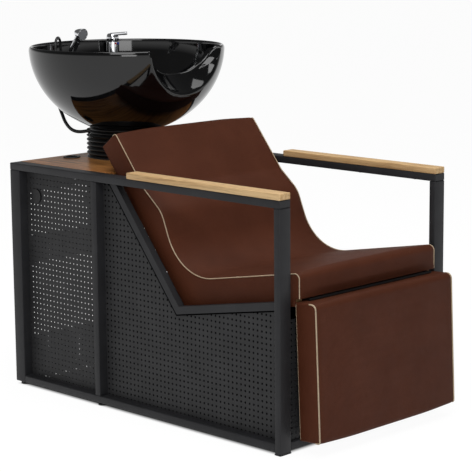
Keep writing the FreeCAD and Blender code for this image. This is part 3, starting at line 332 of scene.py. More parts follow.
def face_out(made, weld=0.0):
    """Weld points closer than a length in millimetres, if one is given, and turn every face outward."""
    hold(made)
    bpy.ops.object.mode_set(mode="EDIT")
    bpy.ops.mesh.select_all(action="SELECT")
    if weld:
        bpy.ops.mesh.remove_doubles(threshold=weld * MM)
    bpy.ops.mesh.normals_make_consistent(inside=False)
    bpy.ops.object.mode_set(mode="OBJECT")


def done(made, body, slot, material, *nodes):
    """Give a piece its finish, the body it rides and the CAD nodes it stands for."""
    made.data.materials.clear()
    made.data.materials.append(material)
    if body:
        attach(made, body)
    if nodes:
        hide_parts(*nodes)
    return made


def block(name, low, high, rounding, segments=3):
    """Box between two corners in metres, its edges rounded."""
    clear()
    bpy.ops.mesh.primitive_cube_add(size=1, location=(low + high) / 2)
    made = bpy.context.object
    made.name = name
    made.scale = high - low
    settle(made)
    modify(made, "BEVEL", width=rounding * MM, segments=segments, limit_method="ANGLE")
    return smooth(made)


def join(name, pieces):
    clear()
    for piece in pieces:
        piece.select_set(True)
    bpy.context.view_layer.objects.active = pieces[0]
    if len(pieces) > 1:
        bpy.ops.object.join()
    pieces[0].name = name
    return pieces[0]


TUBE_THIN = 20.0
TUBE_WIDE = 40.0
TUBE_ROUND = 2.2
PLUG_SHOWS = 0.6
SINGLE_TUBES = ("front_leg_left", "front_leg_right", "rear_leg_left", "rear_leg_right",
                "arm_rail_left", "arm_rail_right", "middle_top_rail", "rear_top_rail")
# Nodes that hold two tubes: the axis on which they lie apart, and a tube's width on it.
TUBE_PAIRS = {"middle_uprights": (ACROSS, TUBE_WIDE), "side_base_rails": (ACROSS, TUBE_WIDE),
              "cross_base_rails": (ALONG, TUBE_THIN)}


def split_box(node, axis, wide):
    """The two like boxes at the ends of a node, wide apart along an axis."""
    low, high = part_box(node)
    first_high, second_low = high.copy(), low.copy()
    first_high[axis] = low[axis] + wide * MM
    second_low[axis] = high[axis] - wide * MM
    return [(low, first_high), (second_low, high)]


def make_tubes():
    for node in SINGLE_TUBES:
        low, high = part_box(node)
        if node.startswith("arm_rail"):
            low.y += PLUG_SHOWS * MM
        made = block("tube_" + node, low, high, TUBE_ROUND)
        done(made, "frame", "powder_coated_steel", PAINT, node)
    for node, (axis, wide) in TUBE_PAIRS.items():
        blocks = [block("tube", low, high, TUBE_ROUND) for low, high in split_box(node, axis, wide)]
        done(join("tube_" + node, blocks), "frame", "powder_coated_steel", PAINT, node)


PANEL_THICK = 1.5
HOLE_PITCH = 15.0
HOLE_CORNERS = 8
# Place of one hole of a sheet, and its radius.
REAR_HOLE = (722.5, 603.0, 2.1)
FRONT_HOLE = (43.3, 76.0, 3.2)
CROSS_HOLE = (0.0, 76.0, 2.5)
# Service openings of the back sheet: shares of its half width, and of its height for sill and head.
OPENING_OUTER = 0.92
UPPER_INNER, UPPER_SILL, UPPER_HEAD = 0.15, 0.69, 0.91
LOWER_INNER, LOWER_SILL, LOWER_HEAD = 0.0, 0.18, 0.55
LINER_SET_IN = 3.0
LINER_THICK = 1.0
LINER_OVERLAP = 9.0
CELL_WELD = 0.05
SHEET_WELD = 0.02
SAME_LINE = 1.0


def hole_cell(name, radius):
    """One square of sheet with its punched hole."""
    clear()
    bpy.ops.mesh.primitive_plane_add(size=HOLE_PITCH)
    cell = bpy.context.object
    cell.name = name
    bpy.ops.object.mode_set(mode="EDIT")
    bpy.ops.mesh.select_all(action="SELECT")
    bpy.ops.mesh.delete(type="ONLY_FACE")
    bpy.ops.mesh.select_all(action="SELECT")
    bpy.ops.mesh.subdivide(number_cuts=1)
    bpy.ops.mesh.primitive_circle_add(vertices=HOLE_CORNERS, radius=radius)
    bpy.ops.mesh.select_all(action="SELECT")
    bpy.ops.mesh.bridge_edge_loops()
    bpy.ops.object.mode_set(mode="OBJECT")
    return cell


def perforated(name, corners, hole, place_flat):
    """Sheet inside a convex outline in its own plane, its holes on a lattice through a given hole."""
    cell = hole_cell(name, hole[2])
    counts = []
    for k in (0, 1):
        low, high = min(c[k] for c in corners), max(c[k] for c in corners)
        first = math.floor((low - hole[k]) / HOLE_PITCH)
        counts.append(math.ceil((high - hole[k]) / HOLE_PITCH) - first + 1)
        cell.location[k] = hole[k] + first * HOLE_PITCH
    settle(cell)
    for k in (0, 1):
        step = Vector((0, 0, 0))
        step[k] = HOLE_PITCH
        modify(cell, "ARRAY", count=counts[k], use_relative_offset=False, use_constant_offset=True,
               constant_offset_displace=step, use_merge_vertices=True, merge_threshold=CELL_WELD)
    middle = sum((Vector(c) for c in corners), Vector((0, 0))) / len(corners)
    hold(cell)
    bpy.ops.object.mode_set(mode="EDIT")
    for here, there in zip(corners, corners[1:] + corners[:1]):
        normal = Vector((there[1] - here[1], here[0] - there[0])).normalized()
        if normal.dot(middle - Vector(here)) > 0:
            normal = -normal
        bpy.ops.mesh.select_all(action="SELECT")
        bpy.ops.mesh.bisect(plane_co=(*here, 0), plane_no=(*normal, 0), clear_outer=True)
    bpy.ops.object.mode_set(mode="OBJECT")
    for vertex in cell.data.vertices:
        vertex.co = place(*place_flat(vertex.co.x, vertex.co.y))
    return cell


def sheet_piece(node, outlines, hole, place_flat):
    """Perforated sheet for a CAD panel, welded from convex outlines."""
    pieces = [perforated("sheet", corners, hole, place_flat) for corners in outlines]
    made = join("perforated_" + node, pieces)
    face_out(made, SHEET_WELD)
    modify(made, "SOLIDIFY", thickness=PANEL_THICK * MM, offset=0.0)
    smooth(made, degrees=30.0)
    done(made, "frame", "perforated_sheet", SHEET, node)


def from_origin(metres, axis):
    """A place on an axis of the frame, in millimetres as place() takes it."""
    return (metres - (FRONT if axis == ALONG else 0.0)) / MM


def flat_corners(node, axis):
    """Outline corners of a flat CAD sheet, in millimetres on an axis and up, in no order."""
    found = []
    for vertex in NODES[node].data.vertices:
        point = (round(from_origin(vertex.co[axis], axis), 1), round(vertex.co.z / MM, 1))
        if point not in found:
            found.append(point)
    return found


def rectangle(left, right, low, high):
    return [(left, low), (right, low), (right, high), (left, high)]


def sheet_limits(node, axis):
    flat, up = zip(*flat_corners(node, axis))
    return min(flat), max(flat), min(up), max(up)


def sheet_depth(node, axis):
    """Middle of a sheet's thickness along an axis, in millimetres."""
    low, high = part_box(node)
    return from_origin((low[axis] + high[axis]) / 2, axis)


def back_outlines(left, right, low, high):
    """The back sheet round its two service openings: whole strips, then those beside an opening."""
    levels = (LOWER_SILL, LOWER_HEAD, UPPER_SILL, UPPER_HEAD)
    heights = [low] + [low + (high - low) * share for share in levels] + [high]
    strips = [rectangle(left, right, heights[k], heights[k + 1]) for k in (0, 2, 4)]
    for k, inner in ((1, LOWER_INNER), (3, UPPER_INNER)):
        strips += [rectangle(left, left * OPENING_OUTER, heights[k], heights[k + 1]),
                   rectangle(left * inner, right, heights[k], heights[k + 1])]
    return strips


def make_sheets():
    y_front = sheet_depth("front_panel", ALONG)
    sheet_piece("front_panel", [rectangle(*sheet_limits("front_panel", ACROSS))], CROSS_HOLE,
                lambda x, z: (x, y_front, z))
    y_back = sheet_depth("back_panel", ALONG)
    sheet_piece("back_panel", back_outlines(*sheet_limits("back_panel", ACROSS)), CROSS_HOLE,
                lambda x, z: (x, y_back, z))
    for side in ("left", "right"):
        node = "rear_side_panel_" + side
        x = sheet_depth(node, ACROSS)
        sheet_piece(node, [rectangle(*sheet_limits(node, ALONG))], REAR_HOLE, lambda y, z: (x, y, z))
        node = "front_side_panel_" + side
        front, rear, low, high = sheet_limits(node, ALONG)
        corners = flat_corners(node, ALONG)
        dip, crest = sorted(c for c in corners if front + SAME_LINE < c[0] < rear - SAME_LINE)
        lip = max(c for c in corners if abs(c[0] - front) < SAME_LINE)
        below = (dip[0], low)
        ahead = [(front, low), below, dip, lip]
        behind = [below, (rear, low), (rear, high), crest, dip]
        sheet_piece(node, [ahead, behind], FRONT_HOLE, lambda y, z: (x, y, z))
        make_shade_liner(side, [(front, low), (rear, low), (rear, high), crest, dip, lip], x)


def make_shade_liner(side, corners, sheet_x):
    """Near-black sheet behind a front side sheet, painted shade for the dark inside seen through its
    holes, grown past its crest, dip and lip, which are its last corners.
    """
    x = sheet_x - math.copysign(LINER_SET_IN, sheet_x)
    reach = BACK_UP * LINER_OVERLAP
    crest, dip, lip = (Vector(c) for c in corners[-3:])
    grown = corners[:-3] + [crest - Vector((LINER_OVERLAP / math.sin(BACK_SLOPE), 0)), dip + reach,
                            lip + Vector((0, reach.y + reach.x * math.tan(SEAT_SLOPE)))]
    liner = mesh_piece("felt_liner_" + side, [place(x, y, z) for y, z in grown], [], [range(len(grown))])
    modify(liner, "SOLIDIFY", thickness=LINER_THICK * MM, offset=0.0)
    modify(liner, "BEVEL", width=LINER_THICK * MM / 4, segments=2, limit_method="ANGLE")
    done(smooth(liner), "frame", "black_plastic", SHADE_BLACK)


TURNED_WELD = 0.01


def lathe(name, profile, centre, axis=(0, 0, 1), steps=64, sharp=40.0):
    """Turn a profile of (radius, height) in millimetres about an axis through a centre in metres."""
    points = [(radius * MM, 0, height * MM) for radius, height in profile]
    made = mesh_piece(name, points, [(k, k + 1) for k in range(len(points) - 1)], [])
    bpy.ops.object.mode_set(mode="EDIT")
    bpy.ops.mesh.select_all(action="SELECT")
    bpy.ops.mesh.spin(steps=steps, angle=2 * math.pi, center=(0, 0, 0), axis=(0, 0, 1))
    bpy.ops.object.mode_set(mode="OBJECT")
    face_out(made, TURNED_WELD)
    turn = Vector((0, 0, 1)).rotation_difference(Vector(axis)).to_matrix().to_4x4()
    made.data.transform(Matrix.Translation(centre) @ turn)
    return smooth(made, sharp)


# A round takes a little under half of the shorter side next to it.
SIDE_PER_ROUND = 2.1


def rounded(points, radius, segments=4):
    """Profile with its inner corners rounded off."""
    out = [points[0]]
    for before, here, after in zip(points, points[1:], points[2:]):
        a, b, c = Vector(before), Vector(here), Vector(after)
        reach = min(radius, (b - a).length / SIDE_PER_ROUND, (c - b).length / SIDE_PER_ROUND)
        start, end = b + (a - b).normalized() * reach, b + (c - b).normalized() * reach
        for k in range(segments + 1):
            t = k / segments
            out.append(tuple(start * (1 - t) ** 2 + b * 2 * t * (1 - t) + end * t ** 2))
    out.append(points[-1])
    return out


def arc(first, middle, last, count):
    """A count of points after the first on the circle through three points."""
    a, b, c = Vector(first), Vector(middle), Vector(last)
    d = 2 * (a.x * (b.y - c.y) + b.x * (c.y - a.y) + c.x * (a.y - b.y))
    u = (a.dot(a) * (b.y - c.y) + b.dot(b) * (c.y - a.y) + c.dot(c) * (a.y - b.y)) / d
    v = (a.dot(a) * (c.x - b.x) + b.dot(b) * (a.x - c.x) + c.dot(c) * (b.x - a.x)) / d
    centre = Vector((u, v))
    start = math.atan2(a.y - v, a.x - u)
    sweep = math.atan2(c.y - v, c.x - u) - start
    half = math.atan2(b.y - v, b.x - u) - start
    turn = 2 * math.pi
    half, sweep = half % turn, sweep % turn
    if half > sweep:
        sweep -= turn
    reach = (a - centre).length
    angles = [start + sweep * k / count for k in range(1, count + 1)]
    return [(u + reach * math.cos(angle), v + reach * math.sin(angle)) for angle in angles]


SEAT_SLOPE = math.radians(10.2)
BACK_SLOPE = math.radians(51.5)
# The tops of the seat board and the back board meet at the corner.
SEAT_FRONT_Y, SEAT_FRONT_Z, CORNER_Y = 20.0, 387.0, 382.0
CORNER = Vector((CORNER_Y, SEAT_FRONT_Z - (CORNER_Y - SEAT_FRONT_Y) * math.tan(SEAT_SLOPE)))
SEAT_DIR = Vector((math.cos(SEAT_SLOPE), -math.sin(SEAT_SLOPE)))
SEAT_UP = Vector((math.sin(SEAT_SLOPE), math.cos(SEAT_SLOPE)))
BACK_DIR = Vector((math.cos(BACK_SLOPE), math.sin(BACK_SLOPE)))
BACK_UP = Vector((-math.sin(BACK_SLOPE), math.cos(BACK_SLOPE)))
SEAT_FOAM = 66.0
SEAT_FLAT_END = 95.0
CORNER_FOAM = 106.0
BACK_FOAM = 52.0
BACK_LENGTH = 511.0
BOARD = 18.0
BOARD_FRONT = 3.0
HEM = 6.0
LEG_HEM = 8.0
# The middle of a rounded corner lies in from either side by this share of the radius.
ROUND_SHARE = 1 - math.sqrt(0.5)
LUMBAR_RISE = 14.5
# Shares of the back's length, and of the lumbar rise there.
LUMBAR_SHARES = ((0.350, -0.20), (0.447, 0.81), (0.486, 1.0), (0.530, 0.83), (0.642, 0.0))


def seat_at(y, offset):
    base = CORNER + SEAT_UP * offset
    return tuple(base + SEAT_DIR * ((y - base.x) / SEAT_DIR.x))


def back_point(along, offset):
    return tuple(CORNER + BACK_DIR * along + BACK_UP * offset)


def pad_outline():
    """Sitter side, then board side, of the seat and back pad."""
    front, nose, crest = -14.0, 16.0, 9.0
    lip = (front, seat_at(front, 0)[1])
    nose_end = seat_at(front + nose, SEAT_FOAM)
    line = [lip, (front, seat_at(front, SEAT_FOAM)[1] - nose)]
    line += arc(line[-1], (front + nose * ROUND_SHARE, nose_end[1] - nose * ROUND_SHARE), nose_end, 8)
    line.append(tuple(CORNER + SEAT_UP * SEAT_FOAM - SEAT_DIR * SEAT_FLAT_END))
    low, rise, peak, fall, top = [back_point(BACK_LENGTH * along, BACK_FOAM + LUMBAR_RISE * lift)
                                  for along, lift in LUMBAR_SHARES]
    line += arc(line[-1], tuple(CORNER + SEAT_UP * CORNER_FOAM), low, 18)
    line.append(rise)
    line += arc(rise, peak, fall, 8)
    line += [top, back_point(BACK_LENGTH - crest, BACK_FOAM)]
    line += arc(line[-1], back_point(BACK_LENGTH - crest * ROUND_SHARE, BACK_FOAM - crest * ROUND_SHARE),
                back_point(BACK_LENGTH, BACK_FOAM - crest), 6)
    line.append(back_point(BACK_LENGTH, BACK_FOAM - crest - HEM))
    inside = CORNER + (SEAT_UP * -BOARD)
    under = (BACK_UP * -BOARD - SEAT_UP * -BOARD).dot(BACK_UP) / SEAT_DIR.dot(BACK_UP)
    bottom = [back_point(BACK_LENGTH, -BOARD), tuple(inside + SEAT_DIR * under),
              seat_at(BOARD_FRONT, -BOARD), seat_at(BOARD_FRONT, 0)]
    return line, bottom


def leg_outline():
    """Front side, then board side, of the leg-rest pad, from its hinge."""
    front, back, high, low = -49.0, 19.0, -2.0, -355.0
    big, small = 15.0, 8.0
    line = [(front + big + LEG_HEM, high), (front + big, high)]
    line += arc(line[-1], (front + big * ROUND_SHARE, high - big * ROUND_SHARE), (front, high - big), 8)
    line.append((front, low + small))
    line += arc(line[-1], (front + small * ROUND_SHARE, low + small * ROUND_SHARE),
                (front + small, low), 6)
    line.append((front + small + LEG_HEM, low))
    return line, [(back, low), (back, high)]


def spaced(line, step):
    """Points along a line, no further apart than a step."""
    out = [line[0]]
    for here, there in zip(line, line[1:]):
        a, b = Vector(here), Vector(there)
        count = max(1, math.ceil((b - a).length / step))
        out += [tuple(a.lerp(b, k / count)) for k in range(1, count + 1)]
    return out


def outward(loop):
    """Normals of a closed loop that runs with its inside on one side."""
    area = sum(a[0] * b[1] - b[0] * a[1] for a, b in zip(loop, loop[1:] + loop[:1]))
    side = 1 if area > 0 else -1
    normals = []
    for k in range(len(loop)):
        before, after = Vector(loop[k - 1]), Vector(loop[(k + 1) % len(loop)])
        along = (after - before).normalized()
        normals.append(Vector((along.y, -along.x)) * side)
    return normals


def eased(value):
    """Smooth step from nought to one."""
    value = min(1.0, max(0.0, value))
    return value * value * (3 - 2 * value)


PAD_STEP = 9.0
PAD_EDGE = 4.5
CROWN_REACH = 150.0
CROWN_POWER = 0.7
SEAM_DIP = 2.5
SEAM_REACH = 14.0
# Cuts across a pad: close together on the rounded edge, even from here to the middle.
EVEN_FROM = 22.0
EVEN_CUTS = 22


def cushion(name, outline, half, crown, to_place):
    """Pad across X: side profiles that swell to the middle, with rounded side edges."""
    sitter, board = (spaced(line, PAD_STEP) for line in outline)
    loop = sitter + spaced([sitter[-1]] + list(board) + [sitter[0]], PAD_STEP)[1:-1]
    normals = outward(loop)
    cuts = [0.0, 0.6, 1.6, 3.2, PAD_EDGE, 9.0, 14.0, EVEN_FROM]
    cuts += [EVEN_FROM + (half - EVEN_FROM) * k / EVEN_CUTS for k in range(1, EVEN_CUTS + 1)]
    across = [-half + cut for cut in cuts] + [half - cut for cut in reversed(cuts[:-1])]
    points = []
    for x in across:
        inward = half - abs(x)
        puff = crown * eased(inward / CROWN_REACH) ** CROWN_POWER
        puff += SEAM_DIP * eased(inward / SEAM_REACH) - SEAM_DIP
        short = PAD_EDGE - min(inward, PAD_EDGE)
        inset = PAD_EDGE - math.sqrt(max(0.0, PAD_EDGE ** 2 - short ** 2))
        for k, (point, normal) in enumerate(zip(loop, normals)):
            lift = puff if 1 < k < len(sitter) - 2 else 0.0
            y, z = Vector(point) + normal * (lift - inset)
            points.append(to_place(x, y, z))
    count = len(loop)
    faces = []
    for row in range(len(across) - 1):
        for k in range(count):
            a, b = row * count + k, row * count + (k + 1) % count
            faces.append((a, b, b + count, a + count))
    last = (len(across) - 1) * count
    faces.append(tuple(range(count)))
    faces.append(tuple(range(last, last + count)))
    made = mesh_piece(name, points, [], faces)
    face_out(made)
    return smooth(made, degrees=50.0), sitter, normals


def tube(name, points, radius, sides):
    """Round curve along points in metres."""
    curve = bpy.data.curves.new(name, "CURVE")
    curve.dimensions = "3D"
    curve.bevel_depth = radius * MM
    curve.bevel_resolution = sides
    spline = curve.splines.new("NURBS")
    spline.points.add(len(points) - 1)
    for point, at in zip(spline.points, points):
        point.co = (*at, 1.0)
    spline.order_u = 3
    spline.use_endpoint_u = True
    curve.use_fill_caps = True
    made = bpy.data.objects.new(name, curve)
    bpy.context.scene.collection.objects.link(made)
    return hold(made)


# Where piping lies on a pad's side edge, in shares of its own radius and of the edge's.
PIPING_OUT = 0.2
PIPING_IN = 0.45
PIPING_ASIDE = 0.35
PIPING_SIDES = 3


def trim(line, half, radius, to_place):
    """Piping on both side edges of a pad, along a line of points with their normals."""
    pieces = []
    for side in (-1, 1):
        points = []
        for point, normal in line:
            y, z = Vector(point) + normal * (radius * PIPING_OUT - PAD_EDGE * PIPING_IN)
            points.append(to_place(side * (half - PAD_EDGE * PIPING_ASIDE), y, z))
        tube("piping", points, radius, PIPING_SIDES)
        bpy.ops.object.convert(target="MESH")
        pieces.append(bpy.context.object)
    return pieces


PAD_HALF = 267.0
PAD_CROWN = 5.0
SEAT_PIPING = 1.4
LEG_HALF = 270.0
LEG_CROWN = 4.0
LEG_PIPING = 2.0
REAR_PIPING = 1.2
LEG_PIVOT = (-21.0, 388.0)
LEG_LEAN = math.radians(2.4)


def leg_place(x, y, z):
    """place() for the leg rest, from its hinge and along its lean."""
    turn = -LEG_LEAN
    return place(x, LEG_PIVOT[0] + y * math.cos(turn) - z * math.sin(turn),
                 LEG_PIVOT[1] + y * math.sin(turn) + z * math.cos(turn))


def make_pads():
    pad, line, normals = cushion("seat_back_upholstery", pad_outline(), PAD_HALF, PAD_CROWN, place)
    done(pad, "frame", "upholstery", LEATHER, "seat_back_pad")
    piping = trim(list(zip(line, normals)), PAD_HALF, SEAT_PIPING, place)
    done(smooth(join("seat_back_piping", piping), degrees=60.0), "frame", "upholstery", PIPING)
    outline = leg_outline()
    pad, line, normals = cushion("leg_rest_upholstery", outline, LEG_HALF, LEG_CROWN, leg_place)
    done(pad, "leg_rest", "upholstery", LEATHER, "leg_rest_pad")
    piping = trim(list(zip(line, normals)), LEG_HALF, LEG_PIPING, leg_place)
    (back, low), (_, high) = outline[1]
    heights = (low + PAD_EDGE, (low + high) / 2, high - PAD_EDGE)
    rear = [((back, z), Vector((1.0, 0.0))) for z in heights]
    piping += trim(rear, LEG_HALF, REAR_PIPING, leg_place)
    done(smooth(join("leg_rest_piping", piping), degrees=60.0), "leg_rest", "upholstery", PIPING)


BOWL_RADIUS = 281.0
BOWL_DEPTH = 252.0
BOWL_WALL = 12.0
RIM_ROLL = 13.0
SCOOP_RADIUS = 166.0
SCOOP_AHEAD = 348.0
SCOOP_BLEND = 10.0
NOTCH_HALF = 128.0
NOTCH_DEPTH = 72.0
NOTCH_POWER = 2.4
NOTCH_LEVEL = -30.0
NOTCH_FOOT = -110.0
LEDGE_DROP = 62.0
LEDGE_FRONT = 140.0
LEDGE_EASE = 18.0
POCKET_HALF = 100.0
POCKET_TOP = 98.0
POCKET_LOW = 205.0
POCKET_EASE = 6.0
# How far from those edges the skin is smoothed.
POCKET_MARGIN = 14.0
LEDGE_MARGIN = 30.0
LEDGE_ABOVE = 4.0
BOWL_STEPS = 440
WALL_ROWS = 64
RIM_ROWS = 7
# Shares of the way to the bottom's middle at which the two skins end.
OUTSIDE_END = 0.985
INSIDE_END = 0.97


def soft_min(a, b, reach):
    """The lesser of two, rounded where they are within reach of each other."""
    share = max(reach - abs(a - b), 0.0) / reach
    return min(a, b) - share * share * reach / 4


def notch_drop(x):
    """How far the rim drops at a place across the front."""
    return NOTCH_DEPTH * max(0.0, 1 - (abs(x) / NOTCH_HALF) ** NOTCH_POWER)


def skin_radius(angle, height, inset):
    """Radius of the bowl's outside, or its inside with the wall as inset, at an angle from the front."""
    depth = BOWL_DEPTH - inset
    round_part = (BOWL_RADIUS - inset) * math.sqrt(max(0.0, 1 - (height / depth) ** 2))
    ball = SCOOP_RADIUS + inset
    hidden = ball ** 2 - height ** 2 - (SCOOP_AHEAD * math.sin(angle)) ** 2
    if hidden <= 0 or math.cos(angle) <= 0:
        return round_part
    return soft_min(round_part, SCOOP_AHEAD * math.cos(angle) - math.sqrt(hidden), SCOOP_BLEND)


def lowered(height, drop):
    """Squeeze the top of the wall down under the neck notch."""
    if height <= NOTCH_FOOT:
        return height
    return NOTCH_FOOT + (height - NOTCH_FOOT) * (NOTCH_FOOT + drop) / NOTCH_FOOT


def pocketed(radius, angle, height):
    """A point of the outside, set in to a flat wall within the service pocket."""
    x, y = radius * math.sin(angle), -radius * math.cos(angle)
    wall = LEDGE_FRONT + BOWL_WALL
    slack = POCKET_EASE / 2
    inside = eased((POCKET_HALF + slack - abs(x)) / POCKET_EASE)
    inside *= eased((-height - POCKET_TOP + slack) / POCKET_EASE)
    inside *= eased((POCKET_LOW + slack + height) / POCKET_EASE)
    if y > wall:
        y += (wall - y) * inside
    return (x, y, height)


def ledged(radius, angle, height):
    """A point of the inside, lifted to the tap ledge behind the ledge's front."""
    x, y = radius * math.sin(angle), -radius * math.cos(angle)
    if height < -LEDGE_DROP:
        height += (-LEDGE_DROP - height) * eased((y - LEDGE_FRONT + LEDGE_EASE / 2) / LEDGE_EASE)
    return (x, y, height)


def bowl_section(angle):
    """Points up the outside, over the rim and down the inside, at an angle from the front."""
    points = []
    front = math.cos(angle)
    lip = BOWL_WALL / 2
    drop = notch_drop(skin_radius(angle, NOTCH_LEVEL, lip) * math.sin(angle)) if front > 0 else 0.0
    for k in range(WALL_ROWS):
        down = math.sin(math.pi / 2 * (1 - k / (WALL_ROWS - 1)) * OUTSIDE_END)
        height = lowered(-RIM_ROLL - (BOWL_DEPTH - RIM_ROLL) * down, drop)
        points.append(pocketed(skin_radius(angle, height, 0.0), angle, height))
    middle = skin_radius(angle, -lip - drop, lip)
    for k in range(1, RIM_ROWS + 1):
        turn = math.pi * k / (RIM_ROWS + 1)
        tall = RIM_ROLL if turn < math.pi / 2 else lip
        reach = middle + lip * math.cos(turn)
        points.append((reach * math.sin(angle), -reach * front, tall * (math.sin(turn) - 1) - drop))
    for k in range(WALL_ROWS):
        down = math.sin(math.pi / 2 * k / (WALL_ROWS - 1) * INSIDE_END)
        height = lowered(-lip - (BOWL_DEPTH - BOWL_WALL - lip) * down, drop)
        points.append(ledged(skin_radius(angle, height, BOWL_WALL), angle, height))
    return points


def on_eased_edge(point, outside):
    """Near the front of the tap ledge inside, or round the service pocket outside."""
    x, y, z = point
    if outside:
        level = -POCKET_LOW - POCKET_MARGIN < z < -POCKET_TOP + POCKET_MARGIN
        return y > 0 and abs(x) < POCKET_HALF + POCKET_MARGIN and level
    return abs(y - LEDGE_FRONT) < LEDGE_MARGIN and z < -LEDGE_DROP + LEDGE_ABOVE


def make_bowl():
    points = []
    for index in range(BOWL_STEPS):
        points += bowl_section(2 * math.pi * index / BOWL_STEPS)
    count = 2 * WALL_ROWS + RIM_ROWS
    faces = []
    for index in range(BOWL_STEPS):
        a, b = index * count, ((index + 1) % BOWL_STEPS) * count
        for k in range(count - 1):
            faces.append((a + k, b + k, b + k + 1, a + k + 1))
    made = mesh_piece("basin", [bowl_point(p) for p in points], [], faces)
    face_out(made)
    group = made.vertex_groups.new(name="eased_edges")
    on_edge = [k for k, p in enumerate(points) if on_eased_edge(p, k % count < WALL_ROWS)]
    group.add(on_edge, 1.0, "REPLACE")
    modify(made, "SMOOTH", factor=0.5, iterations=6, vertex_group=group.name)
    smooth(made, degrees=60.0)
    done(made, "bowl", "bowl_glaze", GLAZE, "bowl")


BELLOWS_Y = 914.0
BELLOWS_RADIUS = 114.0
COLLAR_RADIUS = 106.0
TOP_Z = 644.0
RIB_POWER = 0.6
RIB_STEPS = 10
# Depth and number of ribs.
BELLOWS_RIBS = (9.0, 5)
COLLAR_RIBS = (7.0, 3)
WASTE_RIBS = (2.5, 14)
RIB_SHARP = 80.0
MOUNT_STEPS = 96
PORT_PROFILE = ((0, -1), (8, -1), (8, 16), (0, 16))


def ribbed(radius, ribs, low, high):
    """Profile of a ribbed skin between two heights in metres."""
    depth, number = ribs
    low, high = low / MM, high / MM
    profile = []
    for k in range(number * RIB_STEPS + 1):
        wave = 0.5 + 0.5 * math.cos(2 * math.pi * k / RIB_STEPS)
        height = low + (high - low) * k / (number * RIB_STEPS)
        profile.append((radius - depth * (1 - wave ** RIB_POWER), height))
    return profile


def make_mount():
    base = place(0, BELLOWS_Y, 0)
    low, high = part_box("bellows")
    profile = ribbed(BELLOWS_RADIUS, BELLOWS_RIBS, low.z, high.z)
    bellows = lathe("bellows_skin", profile, base, steps=MOUNT_STEPS, sharp=RIB_SHARP)
    done(bellows, None, "black_rubber", RUBBER, "bellows")
    place(0, BELLOWS_Y, TOP_Z + 6)
    place(0, BELLOWS_Y, high.z / MM - 6)
    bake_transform(bellows)
    low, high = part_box("bellows_collar")
    profile = ribbed(COLLAR_RADIUS, COLLAR_RIBS, low.z, high.z)
    collar = lathe("collar", profile, base, steps=MOUNT_STEPS, sharp=RIB_SHARP)
    end, before = bowl_point(SHOWER_HOSE[-1]), bowl_point(SHOWER_HOSE[-2])
    port = lathe("port", rounded(PORT_PROFILE, 1), end, end - before, steps=32)
    done(join("collar_skin", [collar, port]), "bowl", "black_plastic", RUBBER, "bellows_collar")
    low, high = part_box("waste_hose")
    centre = (low + high) / 2
    profile = ribbed((high.x - low.x) / 2 / MM, WASTE_RIBS, low.z, high.z)
    hose = lathe("waste_hose_skin", profile, Vector((centre.x, centre.y, 0)), steps=40, sharp=RIB_SHARP)
    done(hose, None, "black_rubber", RUBBER, "waste_hose")
    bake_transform(hose)


TAP_TALL = 58.0
# Turned profiles: radius and height.
TAP_BODY = ((0, 0), (23, 0), (23, 4), (19, 4), (19, TAP_TALL - 1), (16, TAP_TALL), (10, TAP_TALL),
            (10, TAP_TALL + 12), (0, TAP_TALL + 12))
TAP_CAP = ((11, 0.2), (19, 0.2), (19, 14), (15, 23), (0, 24))
LEVER_ROUND = 2.0
LEVER_TAPER = 0.34
LEVER_TIP_RISE = 6.0


def make_mixer():
    low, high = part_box("mixer_body")
    axis = Vector(((low.x + high.x) / 2, (low.y + high.y) / 2, low.z))
    body = lathe("tap_body", rounded(TAP_BODY, 1.2), axis)
    done(body, "bowl", "chrome", CHROME, "mixer_body")
    cap = lathe("tap_cap", rounded(TAP_CAP, 5, 6), axis + Vector((0, 0, TAP_TALL * MM)))
    done(cap, "mixer_cap", "chrome", CHROME, "mixer_cap")
    low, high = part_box("mixer_lever")
    lever = block("tap_lever", low, high, LEVER_ROUND, 4)
    for vertex in lever.data.vertices:
        share = (high.y - vertex.co.y) / (high.y - low.y)
        vertex.co.x = axis.x + (vertex.co.x - axis.x) * (1 - LEVER_TAPER * share)
        vertex.co.z += LEVER_TIP_RISE * MM * share * share
    done(lever, "mixer_lever", "chrome", CHROME, "mixer_lever")


LEAN = math.radians(38.0)
SHOWER_AXIS = Vector((0, -math.sin(LEAN), math.cos(LEAN)))
SHOWER_SEAT = (-53.0, 211.0, -LEDGE_DROP)
GRIP_LENGTH = 94.0
HEAD_TURN = math.radians(62.0)
HEAD_AHEAD = 21.0
HEAD_BACK = 11.0
HOLDER_FOOT = ((10.9, 0), (22, 0), (22, 4), (17.5, 5), (13, 5))
HOLDER_SLEEVE = ((11.4, 2), (17, 2), (17, 28), (15, 30), (11.4, 30))
GRIP = ((0, 0), (9, 0), (11, 3), (10.2, 44), (11, GRIP_LENGTH), (0, GRIP_LENGTH))
NECK = ((11.05, -2), (11.6, 0), (12.4, 14), (10, 23), (0, 25))
SHELL = ((0, -12), (8, -10), (12.4, 0), (16.4, 14), (18, 22), (15.8, 22), (15, 20))


